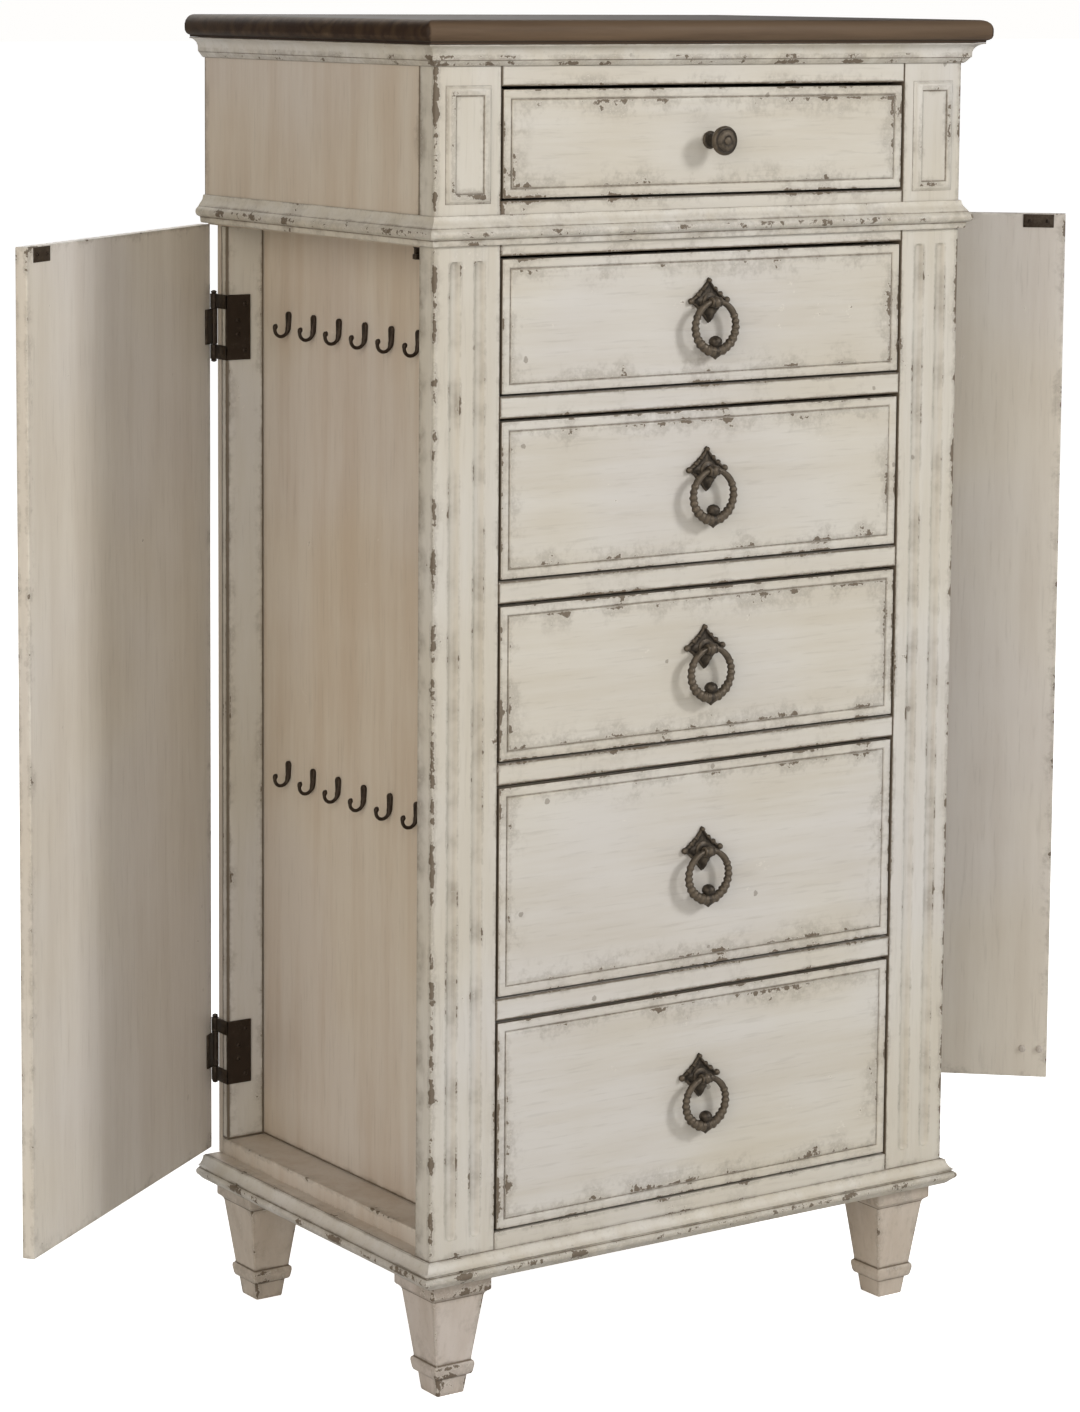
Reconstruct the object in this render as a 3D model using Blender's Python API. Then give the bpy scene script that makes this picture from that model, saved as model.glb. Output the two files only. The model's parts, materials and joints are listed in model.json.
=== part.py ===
"""Tall jewelry chest: six drawers, and a door with a hook-lined compartment on each side.

X runs across the width, Y from the front posts to the back, and Z up. Every piece hangs from
one empty, which stands the whole chest on the middle of its footprint at the end.
"""

import math

import bmesh
import bpy
from mathutils import Matrix, Vector

# Body, in metres
BODY_WIDTH = 0.533
BODY_DEPTH = 0.362
POST_WIDTH = 0.0622
POST_DEPTH = 0.0216
RAIL_HEIGHT = 0.0175
TOP_RAIL_HEIGHT = 0.0332
WAIST_HEIGHT = 0.0433
BACK_THICKNESS = 0.006
UPPER_SIDE_THICKNESS = 0.018
FLOOR_RAIL_HEIGHT = 0.014
BASE_HEIGHT = 0.022

# Heights of the drawer openings, from the lowest drawer to the highest
OPENING_HEIGHTS = (0.176, 0.1755, 0.130, 0.131, 0.112)
TOP_OPENING_HEIGHT = 0.0905

# Top slab, and how far each moulding stands out
SLAB_THICKNESS = 0.019
SLAB_OVERHANG = 0.020
SLAB_BACK_OVERHANG = 0.0015
CROWN_HEIGHT = 0.0172
CROWN_PROJECTION = 0.0145
WAIST_MOULDING_HEIGHT = 0.024
WAIST_PROJECTION = 0.009
BASE_PROJECTION = 0.0105

# Feet
FOOT_HEIGHT = 0.1012
FOOT_INSET = 0.0065
FOOT_BLOCK = 0.058
FOOT_LEG_TOP = 0.0497
FOOT_LEG_BOTTOM = 0.0345
FOOT_COLLAR = 0.0388
FOOT_TIP = 0.0296
FOOT_SOLE = 0.0256

# Front posts: two flutes below the waist and a raised panel above it
FLUTE_WIDTH = 0.0086
FLUTE_DEPTH = 0.0032
FLUTE_SPACING = 0.0235
FLUTE_END_MARGIN = 0.012
POST_PANEL_BORDER = 0.0098
POST_PANEL_FRAME = 0.0082
POST_PANEL_HEIGHT = 0.0036
POST_PANEL_FIELD = 0.0022
POST_PANEL_OVERRUN = 0.0016

# Side compartments and doors
DOOR_THICKNESS = 0.0105
DOOR_FRONT_GAP = 0.0012
DOOR_BACK_GAP = 0.0005
DOOR_COVER = 0.0075
DOOR_FLOOR_COVER = 0.0098
STILE_WIDTH = 0.0365
STILE_DEPTH = 0.016
LEFT_DOOR_OPEN = math.radians(54.5)
RIGHT_DOOR_OPEN = math.radians(48.0)

# Hinges
LEAF_THICKNESS = 0.0014
LEAF_HEIGHT = 0.056
LEAF_WIDTH = 0.0225
DOOR_LEAF_WIDTH = 0.0165
KNUCKLE_RADIUS = 0.0032
DOOR_KNUCKLE_HEIGHT = 0.0315
PIN_RADIUS = 0.0015
FINIAL_HEIGHT = 0.003
PIN_BEHIND_BODY = 0.0045
HINGE_END_DISTANCE = 0.088

# Hooks
HOOKS_PER_ROW = 6
HOOK_PITCH = 0.041
HOOK_ROW_FROM_BACK = 0.162
HOOK_TOPS = (0.867, 0.4785)
HOOK_PLATE_HEIGHT = 0.0165
HOOK_PLATE_WIDTH = 0.0055
HOOK_PLATE_THICKNESS = 0.0024
HOOK_WIRE_RADIUS = 0.0015
HOOK_CURL_RADIUS = 0.0068
HOOK_CURL_DROP = 0.0060
HOOK_WIRE_INSET = 0.0002
HOOK_STEM_RADIUS = 0.0014
HOOK_BAR_THICKNESS = 0.0015
HOOK_BAR_WIDTH = 0.008

# Drawers
FRONT_THICKNESS = 0.019
FRONT_BORDER = 0.0080
FRONT_GROOVE = 0.0010
BOX_WALL = 0.010
BOX_FLOOR = 0.006
BOX_BACK_SPACE = 0.012
BOX_HEAD_SPACE = 0.012

# Knob
KNOB_RADIUS = 0.0120
KNOB_PROJECTION = 0.0265
KNOB_NECK_RADIUS = 0.0046
KNOB_BASE_RADIUS = 0.0060

# Ring pulls
PLATE_HALF_WIDTH = 0.0215
PLATE_HALF_HEIGHT = 0.0195
PLATE_THICKNESS = 0.0022
PLATE_HOLLOW = 0.0016
PULL_STANDOFF = 0.0115
BOSS_RADIUS = 0.0054
BOSS_NECK_RADIUS = 0.0032
RING_RADIUS = 0.0205
RING_WIRE = 0.0031
RING_PIN_RADIUS = 0.0017
RING_PIN_HALF_LENGTH = 0.0062
RING_BUD_LENGTH = 0.0100
RING_BUD_RADIUS = 0.0046
PULL_ABOVE_MIDDLE = 0.0127

# Clearances
JOINT_GAP = 0.0003
DRAWER_REVEAL = 0.0015
BOX_SIDE_CLEARANCE = 0.003
DOOR_EDGE_CLEARANCE = 0.0015
HINGE_CLEARANCE = 0.0003
PIN_CLEARANCE = 0.0002
EYE_CLEARANCE = 0.0003
KNUCKLE_END_CLEARANCE = 0.0004
RUNNER_CLEARANCE = 0.0005

# Finishes: colour, roughness, metallic
CREAM_PAINT = ((0.66, 0.61, 0.52), 0.55, 0.0)
SIDE_PAINT = ((0.60, 0.55, 0.47), 0.55, 0.0)
DARK_WALNUT = ((0.085, 0.055, 0.038), 0.4, 0.0)
RAW_WOOD = ((0.56, 0.43, 0.29), 0.7, 0.0)
AGED_BRONZE = ((0.075, 0.058, 0.042), 0.42, 0.85)

# Sides of round pieces
ROUND_SIDES = 24
WIRE_SIDES = 8

# Places that follow from the sizes above
HALF_WIDTH = BODY_WIDTH / 2
HALF_OPENING = HALF_WIDTH - POST_WIDTH
HALF_RAIL = HALF_OPENING - JOINT_GAP
BACK_FACE = BODY_DEPTH - BACK_THICKNESS
INSIDE_BACK = BACK_FACE - JOINT_GAP
BEHIND_POST = POST_DEPTH + JOINT_GAP

HINGE_SPACE = JOINT_GAP + LEAF_THICKNESS + HINGE_CLEARANCE
STILE_FACE = HALF_WIDTH - DOOR_THICKNESS - HINGE_SPACE
RECESS_FACE = STILE_FACE - STILE_WIDTH
STILE_FRONT = BODY_DEPTH - STILE_DEPTH
PIN_X = STILE_FACE + HINGE_SPACE / 2
PIN_Y = BODY_DEPTH + PIN_BEHIND_BODY

BASE_BOTTOM = FOOT_HEIGHT + JOINT_GAP
BASE_TOP = BASE_BOTTOM + BASE_HEIGHT
COMPARTMENT_FLOOR = BASE_TOP + FLOOR_RAIL_HEIGHT
LOWER_HEIGHT = sum(OPENING_HEIGHTS) + RAIL_HEIGHT * (len(OPENING_HEIGHTS) - 1)
COMPARTMENT_CEILING = COMPARTMENT_FLOOR + LOWER_HEIGHT
WAIST_TOP = COMPARTMENT_CEILING + WAIST_HEIGHT
TOP_OPENING_TOP = WAIST_TOP + TOP_OPENING_HEIGHT
SLAB_BOTTOM = TOP_OPENING_TOP + TOP_RAIL_HEIGHT
DOOR_BOTTOM = COMPARTMENT_FLOOR - DOOR_FLOOR_COVER
DOOR_TOP = COMPARTMENT_CEILING + DOOR_COVER
WAIST_MOULDING_BOTTOM = DOOR_TOP + DOOR_EDGE_CLEARANCE
WAIST_STEP_TOP = WAIST_MOULDING_BOTTOM + 0.010
WAIST_WEB = 0.012
RUNNER_WIDTH = 0.019


def clear_scene():
    for obj in list(bpy.data.objects):
        bpy.data.objects.remove(obj)


def give_finish(obj, finish):
    colour, roughness, metallic = finish
    made = bpy.data.materials.new(obj.name + "_finish")
    made.use_nodes = True
    shader = made.node_tree.nodes["Principled BSDF"]
    shader.inputs["Base Color"].default_value = (*colour, 1.0)
    shader.inputs["Roughness"].default_value = roughness
    shader.inputs["Metallic"].default_value = metallic
    obj.data.materials.clear()
    obj.data.materials.append(made)


def add_empty(name, parent=None, location=(0.0, 0.0, 0.0), turn=0.0):
    empty = bpy.data.objects.new(name, None)
    empty.empty_display_size = 0.05
    empty.location = location
    empty.rotation_euler = (0.0, 0.0, turn)
    empty.parent = parent
    bpy.context.scene.collection.objects.link(empty)
    return empty


def add_part(name, bm, parent, finish=None, rounded=False):
    """Make an object of a bmesh, with its faces outwards."""
    bmesh.ops.recalc_face_normals(bm, faces=bm.faces)
    mesh = bpy.data.meshes.new(name)
    bm.to_mesh(mesh)
    bm.free()
    if rounded:
        mesh.shade_smooth()
        mesh.set_sharp_from_angle(angle=math.radians(35))
    obj = bpy.data.objects.new(name, mesh)
    obj.parent = parent
    bpy.context.scene.collection.objects.link(obj)
    if finish:
        give_finish(obj, finish)
    return obj


def combine(obj, helpers, operation, solver="EXACT"):
    """Join helpers to a part, or cut them from it. They stay in the file as hidden wires."""
    for helper in helpers:
        helper.hide_render = True
        helper.display_type = "WIRE"
        modifier = obj.modifiers.new(helper.name, "BOOLEAN")
        modifier.operation = operation
        modifier.solver = solver
        modifier.object = helper


def add_box(bm, low, high):
    size = Vector(high) - Vector(low)
    middle = (Vector(high) + Vector(low)) / 2
    place = Matrix.Translation(middle) @ Matrix.Diagonal((*size, 1.0))
    bmesh.ops.create_cube(bm, size=1.0, matrix=place)


def box_part(name, low, high, parent, finish):
    bm = bmesh.new()
    add_box(bm, low, high)
    return add_part(name, bm, parent, finish)


def side_box(name, sign, low, high, parent, finish):
    """A box given for the right side, or its mirror image on the left."""
    bm = bmesh.new()
    add_box(bm, low, high)
    to_side(bm, sign)
    return add_part(name, bm, parent, finish)


def to_side(bm, sign):
    """Mirror a shape that was made for the right side when the sign says left."""
    bmesh.ops.scale(bm, vec=(sign, 1.0, 1.0), verts=bm.verts)


def loft(bm, loops, closed=False):
    """Skin a row of equal loops of points, with caps unless the row closes on itself."""
    rows = [[bm.verts.new(point) for point in loop] for loop in loops]
    following = rows[1:] + rows[:1] if closed else rows[1:]
    for first, second in zip(rows, following):
        for i, corner in enumerate(first):
            j = (i + 1) % len(first)
            bm.faces.new((corner, first[j], second[j], second[i]))
    if not closed:
        bm.faces.new(rows[0])
        bm.faces.new(rows[-1])


def extrude_outline(bm, outline, low, high, axis):
    """Extrude an outline along an axis. Its points are on the other two axes, in X, Y, Z order."""
    loops = []
    for level in (low, high):
        loop = []
        for point in outline:
            values = list(point)
            values.insert("XYZ".index(axis), level)
            loop.append(values)
        loops.append(loop)
    loft(bm, loops)


def arc(centre, radius, start, end, steps):
    """Points of an arc in a plane, with its angles in degrees."""
    points = []
    for i in range(steps + 1):
        angle = math.radians(start + (end - start) * i / steps)
        points.append((centre[0] + radius * math.cos(angle), centre[1] + radius * math.sin(angle)))
    return points


def add_turning(bm, profile, centre, axis, sides=ROUND_SIDES):
    """A turned shape: its profile is (radius, distance along the axis) from one end to the other."""
    loops = []
    for radius, along in profile:
        ring = []
        for i in range(sides):
            angle = 2 * math.pi * (i + 0.5) / sides
            values = [radius * math.cos(angle), radius * math.sin(angle)]
            values.insert("XYZ".index(axis), along)
            ring.append(Vector(centre) + Vector(values))
        loops.append(ring)
    loft(bm, loops)


def make_slab(cabinet):
    """The top, with a rounded upper edge and an eased lower edge at the front and sides."""
    top = SLAB_BOTTOM + SLAB_THICKNESS
    edge = (
        (SLAB_BOTTOM, SLAB_OVERHANG - 0.0035),
        (SLAB_BOTTOM + 0.0025, SLAB_OVERHANG - 0.0006),
        (SLAB_BOTTOM + 0.005, SLAB_OVERHANG),
        (top - 0.006, SLAB_OVERHANG),
        (top - 0.0025, SLAB_OVERHANG - 0.0015),
        (top, SLAB_OVERHANG - 0.0055),
    )
    loops = []
    for height, overhang in edge:
        side = HALF_WIDTH + overhang
        back = BODY_DEPTH + SLAB_BACK_OVERHANG
        loops.append(
            [(-side, -overhang, height), (side, -overhang, height), (side, back, height), (-side, back, height)]
        )
    bm = bmesh.new()
    loft(bm, loops)
    add_part("top_slab", bm, cabinet, DARK_WALNUT)


def make_moulding(name, profile, cabinet):
    """A moulding mitred round the front and both sides. Its profile is (projection, height)."""
    loops = []
    for turn_x, turn_y in ((-1, 0), (-1, -1), (1, -1), (1, 0)):
        loop = []
        for projection, height in profile:
            x = turn_x * (HALF_WIDTH + projection)
            y = -projection if turn_y else BODY_DEPTH
            loop.append((x, y, height))
        loops.append(loop)
    bm = bmesh.new()
    loft(bm, loops)
    add_part(name, bm, cabinet, CREAM_PAINT, rounded=True)


def make_mouldings(cabinet):
    low = SLAB_BOTTOM - JOINT_GAP - CROWN_HEIGHT
    high = SLAB_BOTTOM - JOINT_GAP
    step = CROWN_PROJECTION - 0.0083
    cove = arc((CROWN_PROJECTION, high - 0.0094), 0.0083, 180, 92, 5)
    crown = [(JOINT_GAP, low), (0.0012, low), (step - 0.001, low + 0.0042), (step, low + 0.0046)]
    crown += cove + [(CROWN_PROJECTION, high), (JOINT_GAP, high)]
    make_moulding("crown_moulding", crown, cabinet)

    low = WAIST_MOULDING_BOTTOM
    high = low + WAIST_MOULDING_HEIGHT
    waist = [(JOINT_GAP, low), (0.0040, low), (0.0043, low + 0.0042)]
    waist += arc((WAIST_PROJECTION - 0.0033, low + 0.0098), 0.0033, -70, 50, 5)
    waist += [(0.0030, high - 0.0042), (0.0016, high - 0.0028), (0.0012, high), (JOINT_GAP, high)]
    make_moulding("waist_moulding", waist, cabinet)

    low = BASE_BOTTOM
    high = BASE_TOP
    base = [(JOINT_GAP, low), (0.0025, low), (BASE_PROJECTION - 0.0012, low + 0.0052)]
    base += [(BASE_PROJECTION, low + 0.0068), (BASE_PROJECTION, low + 0.0094)]
    base += [(BASE_PROJECTION - 0.0012, low + 0.0110), (0.0048, low + 0.0165)]
    base += [(0.0022, low + 0.0205), (0.0016, high), (JOINT_GAP, high)]
    make_moulding("base_moulding", base, cabinet)


def make_feet(cabinet):
    """Four tapered square feet, each with a block on top, a collar and a small tip."""
    sections = (
        (0.0, FOOT_SOLE),
        (0.0155, FOOT_TIP),
        (0.0163, FOOT_COLLAR - 0.0033),
        (0.0235, FOOT_COLLAR),
        (0.0268, FOOT_COLLAR - 0.0008),
        (0.0280, FOOT_LEG_BOTTOM),
        (FOOT_HEIGHT - 0.0172, FOOT_LEG_TOP),
        (FOOT_HEIGHT - 0.0150, FOOT_BLOCK - 0.0055),
        (FOOT_HEIGHT - 0.0134, FOOT_BLOCK),
        (FOOT_HEIGHT, FOOT_BLOCK),
    )
    centre_x = HALF_WIDTH - FOOT_INSET - FOOT_BLOCK / 2
    front_y = FOOT_INSET + FOOT_BLOCK / 2
    for row, y in (("front", front_y), ("back", BODY_DEPTH - front_y)):
        for side, sign in (("left", -1), ("right", 1)):
            bm = bmesh.new()
            loops = []
            for height, width in sections:
                half = width / 2
                corners = ((-half, -half), (half, -half), (half, half), (-half, half))
                loops.append([(sign * centre_x + dx, y + dy, height) for dx, dy in corners])
            loft(bm, loops)
            add_part(f"foot_{row}_{side}", bm, cabinet, CREAM_PAINT)


def make_base_board(cabinet):
    """The board under posts and compartments, with the bottom rail along its front."""
    base = box_part(
        "base_board", (-HALF_WIDTH, 0, BASE_BOTTOM), (HALF_WIDTH, BODY_DEPTH, BASE_TOP), cabinet, CREAM_PAINT
    )
    outline = (
        (-HALF_RAIL, 0),
        (HALF_RAIL, 0),
        (HALF_RAIL, BEHIND_POST),
        (STILE_FACE, BEHIND_POST),
        (STILE_FACE, INSIDE_BACK),
        (-STILE_FACE, INSIDE_BACK),
        (-STILE_FACE, BEHIND_POST),
        (-HALF_RAIL, BEHIND_POST),
    )
    bm = bmesh.new()
    extrude_outline(bm, outline, BASE_TOP - BASE_HEIGHT / 2, COMPARTMENT_FLOOR, "Z")
    combine(base, [add_part("base_board_floor", bm, cabinet)], "UNION")


def make_waist_board(cabinet):
    """The compartments' ceiling, with a step under each upper side and two drawer runners."""
    runner_top = WAIST_TOP - RUNNER_CLEARANCE
    half = [
        (STILE_FACE, COMPARTMENT_CEILING),
        (STILE_FACE, WAIST_MOULDING_BOTTOM),
        (HALF_WIDTH, WAIST_MOULDING_BOTTOM),
        (HALF_WIDTH, WAIST_STEP_TOP),
        (HALF_OPENING, WAIST_STEP_TOP),
        (HALF_OPENING, runner_top),
        (HALF_OPENING - RUNNER_WIDTH, runner_top),
        (HALF_OPENING - RUNNER_WIDTH, COMPARTMENT_CEILING + WAIST_WEB),
    ]
    outline = half + [(-x, z) for x, z in reversed(half)]
    bm = bmesh.new()
    extrude_outline(bm, outline, BEHIND_POST, INSIDE_BACK, "Y")
    add_part("waist_board", bm, cabinet, RAW_WOOD)


def make_rails(cabinet):
    box_part(
        "top_rail", (-HALF_RAIL, 0, TOP_OPENING_TOP), (HALF_RAIL, POST_DEPTH, SLAB_BOTTOM - JOINT_GAP), cabinet, CREAM_PAINT
    )
    box_part(
        "waist_rail", (-HALF_RAIL, 0, COMPARTMENT_CEILING), (HALF_RAIL, POST_DEPTH, WAIST_TOP), cabinet, CREAM_PAINT
    )
    height = COMPARTMENT_FLOOR
    for number, opening in enumerate(OPENING_HEIGHTS[:-1]):
        height += opening
        below = len(OPENING_HEIGHTS) + 1 - number
        box_part(
            f"rail_above_drawer_{below}",
            (-HALF_RAIL, 0, height),
            (HALF_RAIL, INSIDE_BACK, height + RAIL_HEIGHT),
            cabinet,
            CREAM_PAINT,
        )
        height += RAIL_HEIGHT


def flute_cutter(name, x, low, high, cabinet):
    """A long round-ended rod that cuts one flute."""
    radius = (FLUTE_WIDTH**2 / 4 + FLUTE_DEPTH**2) / (2 * FLUTE_DEPTH)
    bm = bmesh.new()
    bmesh.ops.create_uvsphere(bm, u_segments=16, v_segments=9, radius=radius)
    for vert in bm.verts:
        vert.co.z += high - radius if vert.co.z > 0 else low + radius
    bmesh.ops.translate(bm, vec=(x, FLUTE_DEPTH - radius, 0), verts=bm.verts)
    return add_part(name, bm, cabinet)


def panel_moulding(name, x, low, high, cabinet):
    """The raised frame on the upper part of a post, with its field slightly lower inside."""
    half = POST_WIDTH / 2 - POST_PANEL_BORDER
    steps = (
        (0, 0.001),
        (0, -0.0006),
        (POST_PANEL_FRAME * 0.55, 0.0002 - POST_PANEL_HEIGHT),
        (POST_PANEL_FRAME * 0.88, -POST_PANEL_HEIGHT),
        (POST_PANEL_FRAME, -POST_PANEL_FIELD),
    )
    loops = []
    for inset, y in steps:
        near, far = x - half + inset, x + half - inset
        loops.append([(near, y, low + inset), (far, y, low + inset), (far, y, high - inset), (near, y, high - inset)])
    bm = bmesh.new()
    loft(bm, loops)
    return add_part(name, bm, cabinet)


def make_posts(cabinet):
    flute_low = BASE_TOP + FLUTE_END_MARGIN
    flute_high = WAIST_MOULDING_BOTTOM - FLUTE_END_MARGIN
    for side, sign in (("left", -1), ("right", 1)):
        post = side_box(
            f"front_post_{side}",
            sign,
            (HALF_OPENING, 0, BASE_TOP + JOINT_GAP),
            (HALF_WIDTH, POST_DEPTH, SLAB_BOTTOM - JOINT_GAP),
            cabinet,
            CREAM_PAINT,
        )
        middle = sign * (HALF_WIDTH - POST_WIDTH / 2)
        cutters = []
        for number, shift in enumerate((-FLUTE_SPACING / 2, FLUTE_SPACING / 2), 1):
            name = f"flute_{side}_{number}"
            cutters.append(flute_cutter(name, middle + shift, flute_low, flute_high, cabinet))
        combine(post, cutters, "DIFFERENCE")
        low = WAIST_TOP - POST_PANEL_OVERRUN
        high = TOP_OPENING_TOP + POST_PANEL_OVERRUN / 2
        combine(post, [panel_moulding(f"post_panel_{side}", middle, low, high, cabinet)], "UNION")


def make_case(cabinet):
    """Back, upper sides, and the stile and sunk panel of each compartment."""
    half_back = STILE_FACE - JOINT_GAP
    box_part(
        "back_panel",
        (-half_back, BACK_FACE, BASE_TOP + JOINT_GAP),
        (half_back, BODY_DEPTH, SLAB_BOTTOM - JOINT_GAP),
        cabinet,
        RAW_WOOD,
    )
    rabbet = STILE_FACE
    outline = (
        (HALF_WIDTH, BEHIND_POST),
        (HALF_WIDTH, BODY_DEPTH),
        (rabbet, BODY_DEPTH),
        (rabbet, INSIDE_BACK),
        (HALF_WIDTH - UPPER_SIDE_THICKNESS, INSIDE_BACK),
        (HALF_WIDTH - UPPER_SIDE_THICKNESS, BEHIND_POST),
    )
    for side, sign in (("left", -1), ("right", 1)):
        bm = bmesh.new()
        extrude_outline(bm, outline, WAIST_STEP_TOP + JOINT_GAP, SLAB_BOTTOM - JOINT_GAP, "Z")
        to_side(bm, sign)
        add_part(f"upper_side_{side}", bm, cabinet, SIDE_PAINT)
        side_box(
            f"back_stile_{side}",
            sign,
            (RECESS_FACE, STILE_FRONT, COMPARTMENT_FLOOR + JOINT_GAP),
            (STILE_FACE, INSIDE_BACK, COMPARTMENT_CEILING - JOINT_GAP),
            cabinet,
            SIDE_PAINT,
        )


def hook_places():
    """The (y, top) of every hook of one side."""
    middle = BODY_DEPTH - HOOK_ROW_FROM_BACK
    first = middle - HOOK_PITCH * (HOOKS_PER_ROW - 1) / 2
    return [(first + HOOK_PITCH * i, top) for top in HOOK_TOPS for i in range(HOOKS_PER_ROW)]


def bar_outline(spare):
    """The let-in bar that joins both rows: a strip along each row and one between them."""
    stem_heights = [top - HOOK_PLATE_HEIGHT / 2 for top in HOOK_TOPS]
    high, low = max(stem_heights), min(stem_heights)
    middle = BODY_DEPTH - HOOK_ROW_FROM_BACK
    reach = HOOK_PITCH * (HOOKS_PER_ROW - 1) / 2 + HOOK_BAR_WIDTH / 2 + spare
    half = HOOK_BAR_WIDTH / 2 + spare
    right = [
        (middle + reach, low - half),
        (middle + reach, low + half),
        (middle + half, low + half),
        (middle + half, high - half),
        (middle + reach, high - half),
        (middle + reach, high + half),
    ]
    return right + [(2 * middle - y, z) for y, z in reversed(right)]


def add_stems(bm, radius, start, end):
    for y, top in hook_places():
        centre = (0, y, top - HOOK_PLATE_HEIGHT / 2)
        add_turning(bm, ((radius, start), (radius, end)), centre, "X", WIRE_SIDES)


def add_curl(bm, start, y, bottom):
    """The bent wire of one hook, from the back of its plate round to its tip."""
    radius = HOOK_CURL_RADIUS
    wire_x = start + HOOK_WIRE_RADIUS + HOOK_WIRE_INSET
    middle_x = wire_x + radius
    middle_z = bottom + HOOK_WIRE_RADIUS + radius
    path = [(wire_x, middle_z + HOOK_CURL_DROP / 2)]
    path += arc((middle_x, middle_z), radius, 180, 380, 6)
    loops = []
    for i, (x, z) in enumerate(path):
        before, after = path[max(i - 1, 0)], path[min(i + 1, len(path) - 1)]
        along = Vector((after[0] - before[0], 0, after[1] - before[1])).normalized()
        across = along.cross(Vector((0, 1, 0)))
        wire = HOOK_WIRE_RADIUS * (1 if i < len(path) - 1 else 0.7)
        loop = []
        for k in range(6):
            angle = math.pi * k / 3
            offset = across * math.cos(angle) + Vector((0, 1, 0)) * math.sin(angle)
            loop.append(Vector((x, y, z)) + offset * wire)
        loops.append(loop)
    loft(bm, loops)


def make_hooks_and_recess(cabinet):
    """Each side's sunk panel and its hooks, whose stems pass through it to a let-in bar."""
    inner_face = HALF_OPENING
    outer_face = RECESS_FACE - JOINT_GAP
    bar_face = inner_face + HOOK_BAR_THICKNESS
    plate_face = outer_face + JOINT_GAP
    for side, sign in (("left", -1), ("right", 1)):
        panel = side_box(
            f"recess_panel_{side}",
            sign,
            (inner_face, BEHIND_POST, COMPARTMENT_FLOOR + JOINT_GAP),
            (outer_face, INSIDE_BACK, COMPARTMENT_CEILING - JOINT_GAP),
            cabinet,
            SIDE_PAINT,
        )
        bm = bmesh.new()
        extrude_outline(bm, bar_outline(JOINT_GAP), inner_face - 0.002, bar_face + JOINT_GAP, "X")
        to_side(bm, sign)
        groove = add_part(f"hook_bar_groove_{side}", bm, cabinet)
        bm = bmesh.new()
        add_stems(bm, HOOK_STEM_RADIUS + JOINT_GAP, inner_face - 0.002, outer_face + 0.002)
        to_side(bm, sign)
        holes = add_part(f"hook_stem_holes_{side}", bm, cabinet)
        combine(panel, [groove, holes], "DIFFERENCE")

        bm = bmesh.new()
        extrude_outline(bm, bar_outline(0), inner_face, bar_face, "X")
        to_side(bm, sign)
        hooks = add_part(f"hooks_{side}", bm, cabinet, AGED_BRONZE)
        bm = bmesh.new()
        add_stems(bm, HOOK_STEM_RADIUS, bar_face - 0.0007, plate_face + 0.001)
        to_side(bm, sign)
        stems = add_part(f"hook_stems_{side}", bm, cabinet)
        bm = bmesh.new()
        for y, top in hook_places():
            half = HOOK_PLATE_WIDTH / 2
            low = (plate_face, y - half, top - HOOK_PLATE_HEIGHT)
            add_box(bm, low, (plate_face + HOOK_PLATE_THICKNESS, y + half, top))
        to_side(bm, sign)
        plates = add_part(f"hook_plates_{side}", bm, cabinet)
        bm = bmesh.new()
        for y, top in hook_places():
            add_curl(bm, plate_face, y, top - HOOK_PLATE_HEIGHT - HOOK_CURL_DROP)
        to_side(bm, sign)
        curls = add_part(f"hook_curls_{side}", bm, cabinet)
        combine(hooks, [stems, plates, curls], "UNION", "MANIFOLD")


def make_frame_leaf(name, sign, middle, cabinet):
    """The hinge half on the stile: it wraps the stile's front, and its two arms hold the pin."""
    low, high = middle - LEAF_HEIGHT / 2, middle + LEAF_HEIGHT / 2
    knuckle_low = middle - DOOR_KNUCKLE_HEIGHT / 2
    knuckle_high = middle + DOOR_KNUCKLE_HEIGHT / 2
    plate_back = STILE_FRONT - JOINT_GAP
    plate_front = plate_back - LEAF_THICKNESS
    arm_inside = STILE_FACE + JOINT_GAP
    arm_outside = arm_inside + LEAF_THICKNESS
    outline = (
        (STILE_FACE - LEAF_WIDTH, plate_front),
        (arm_outside, plate_front),
        (arm_outside, PIN_Y),
        (arm_inside, PIN_Y),
        (arm_inside, plate_back),
        (STILE_FACE - LEAF_WIDTH, plate_back),
    )
    bm = bmesh.new()
    extrude_outline(bm, outline, low, high, "Z")
    to_side(bm, sign)
    leaf = add_part(name, bm, cabinet, AGED_BRONZE)
    bm = bmesh.new()
    window_low = (arm_inside - 0.001, plate_back + 0.0006, knuckle_low)
    add_box(bm, window_low, (arm_outside + 0.001, PIN_Y + 0.002, knuckle_high))
    to_side(bm, sign)
    window = add_part(name + "_window", bm, cabinet)
    bm = bmesh.new()
    for start, end in ((low - 0.0003, knuckle_low - 0.0002), (knuckle_high + 0.0002, high + 0.0003)):
        add_turning(bm, ((KNUCKLE_RADIUS, start), (KNUCKLE_RADIUS, end)), (PIN_X, PIN_Y, 0), "Z", 12)
    to_side(bm, sign)
    knuckles = add_part(name + "_knuckles", bm, cabinet)
    finial = KNUCKLE_RADIUS - 0.0006
    profile = (
        (0.0006, low - FINIAL_HEIGHT),
        (finial, low - FINIAL_HEIGHT / 2),
        (PIN_RADIUS, low - 0.0008),
        (PIN_RADIUS, high + 0.0008),
        (finial, high + FINIAL_HEIGHT / 2),
        (0.0006, high + FINIAL_HEIGHT),
    )
    bm = bmesh.new()
    add_turning(bm, profile, (PIN_X, PIN_Y, 0), "Z", 12)
    to_side(bm, sign)
    pin = add_part(name + "_pin", bm, cabinet)
    combine(leaf, [window], "DIFFERENCE")
    combine(leaf, [knuckles, pin], "UNION")


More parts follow.
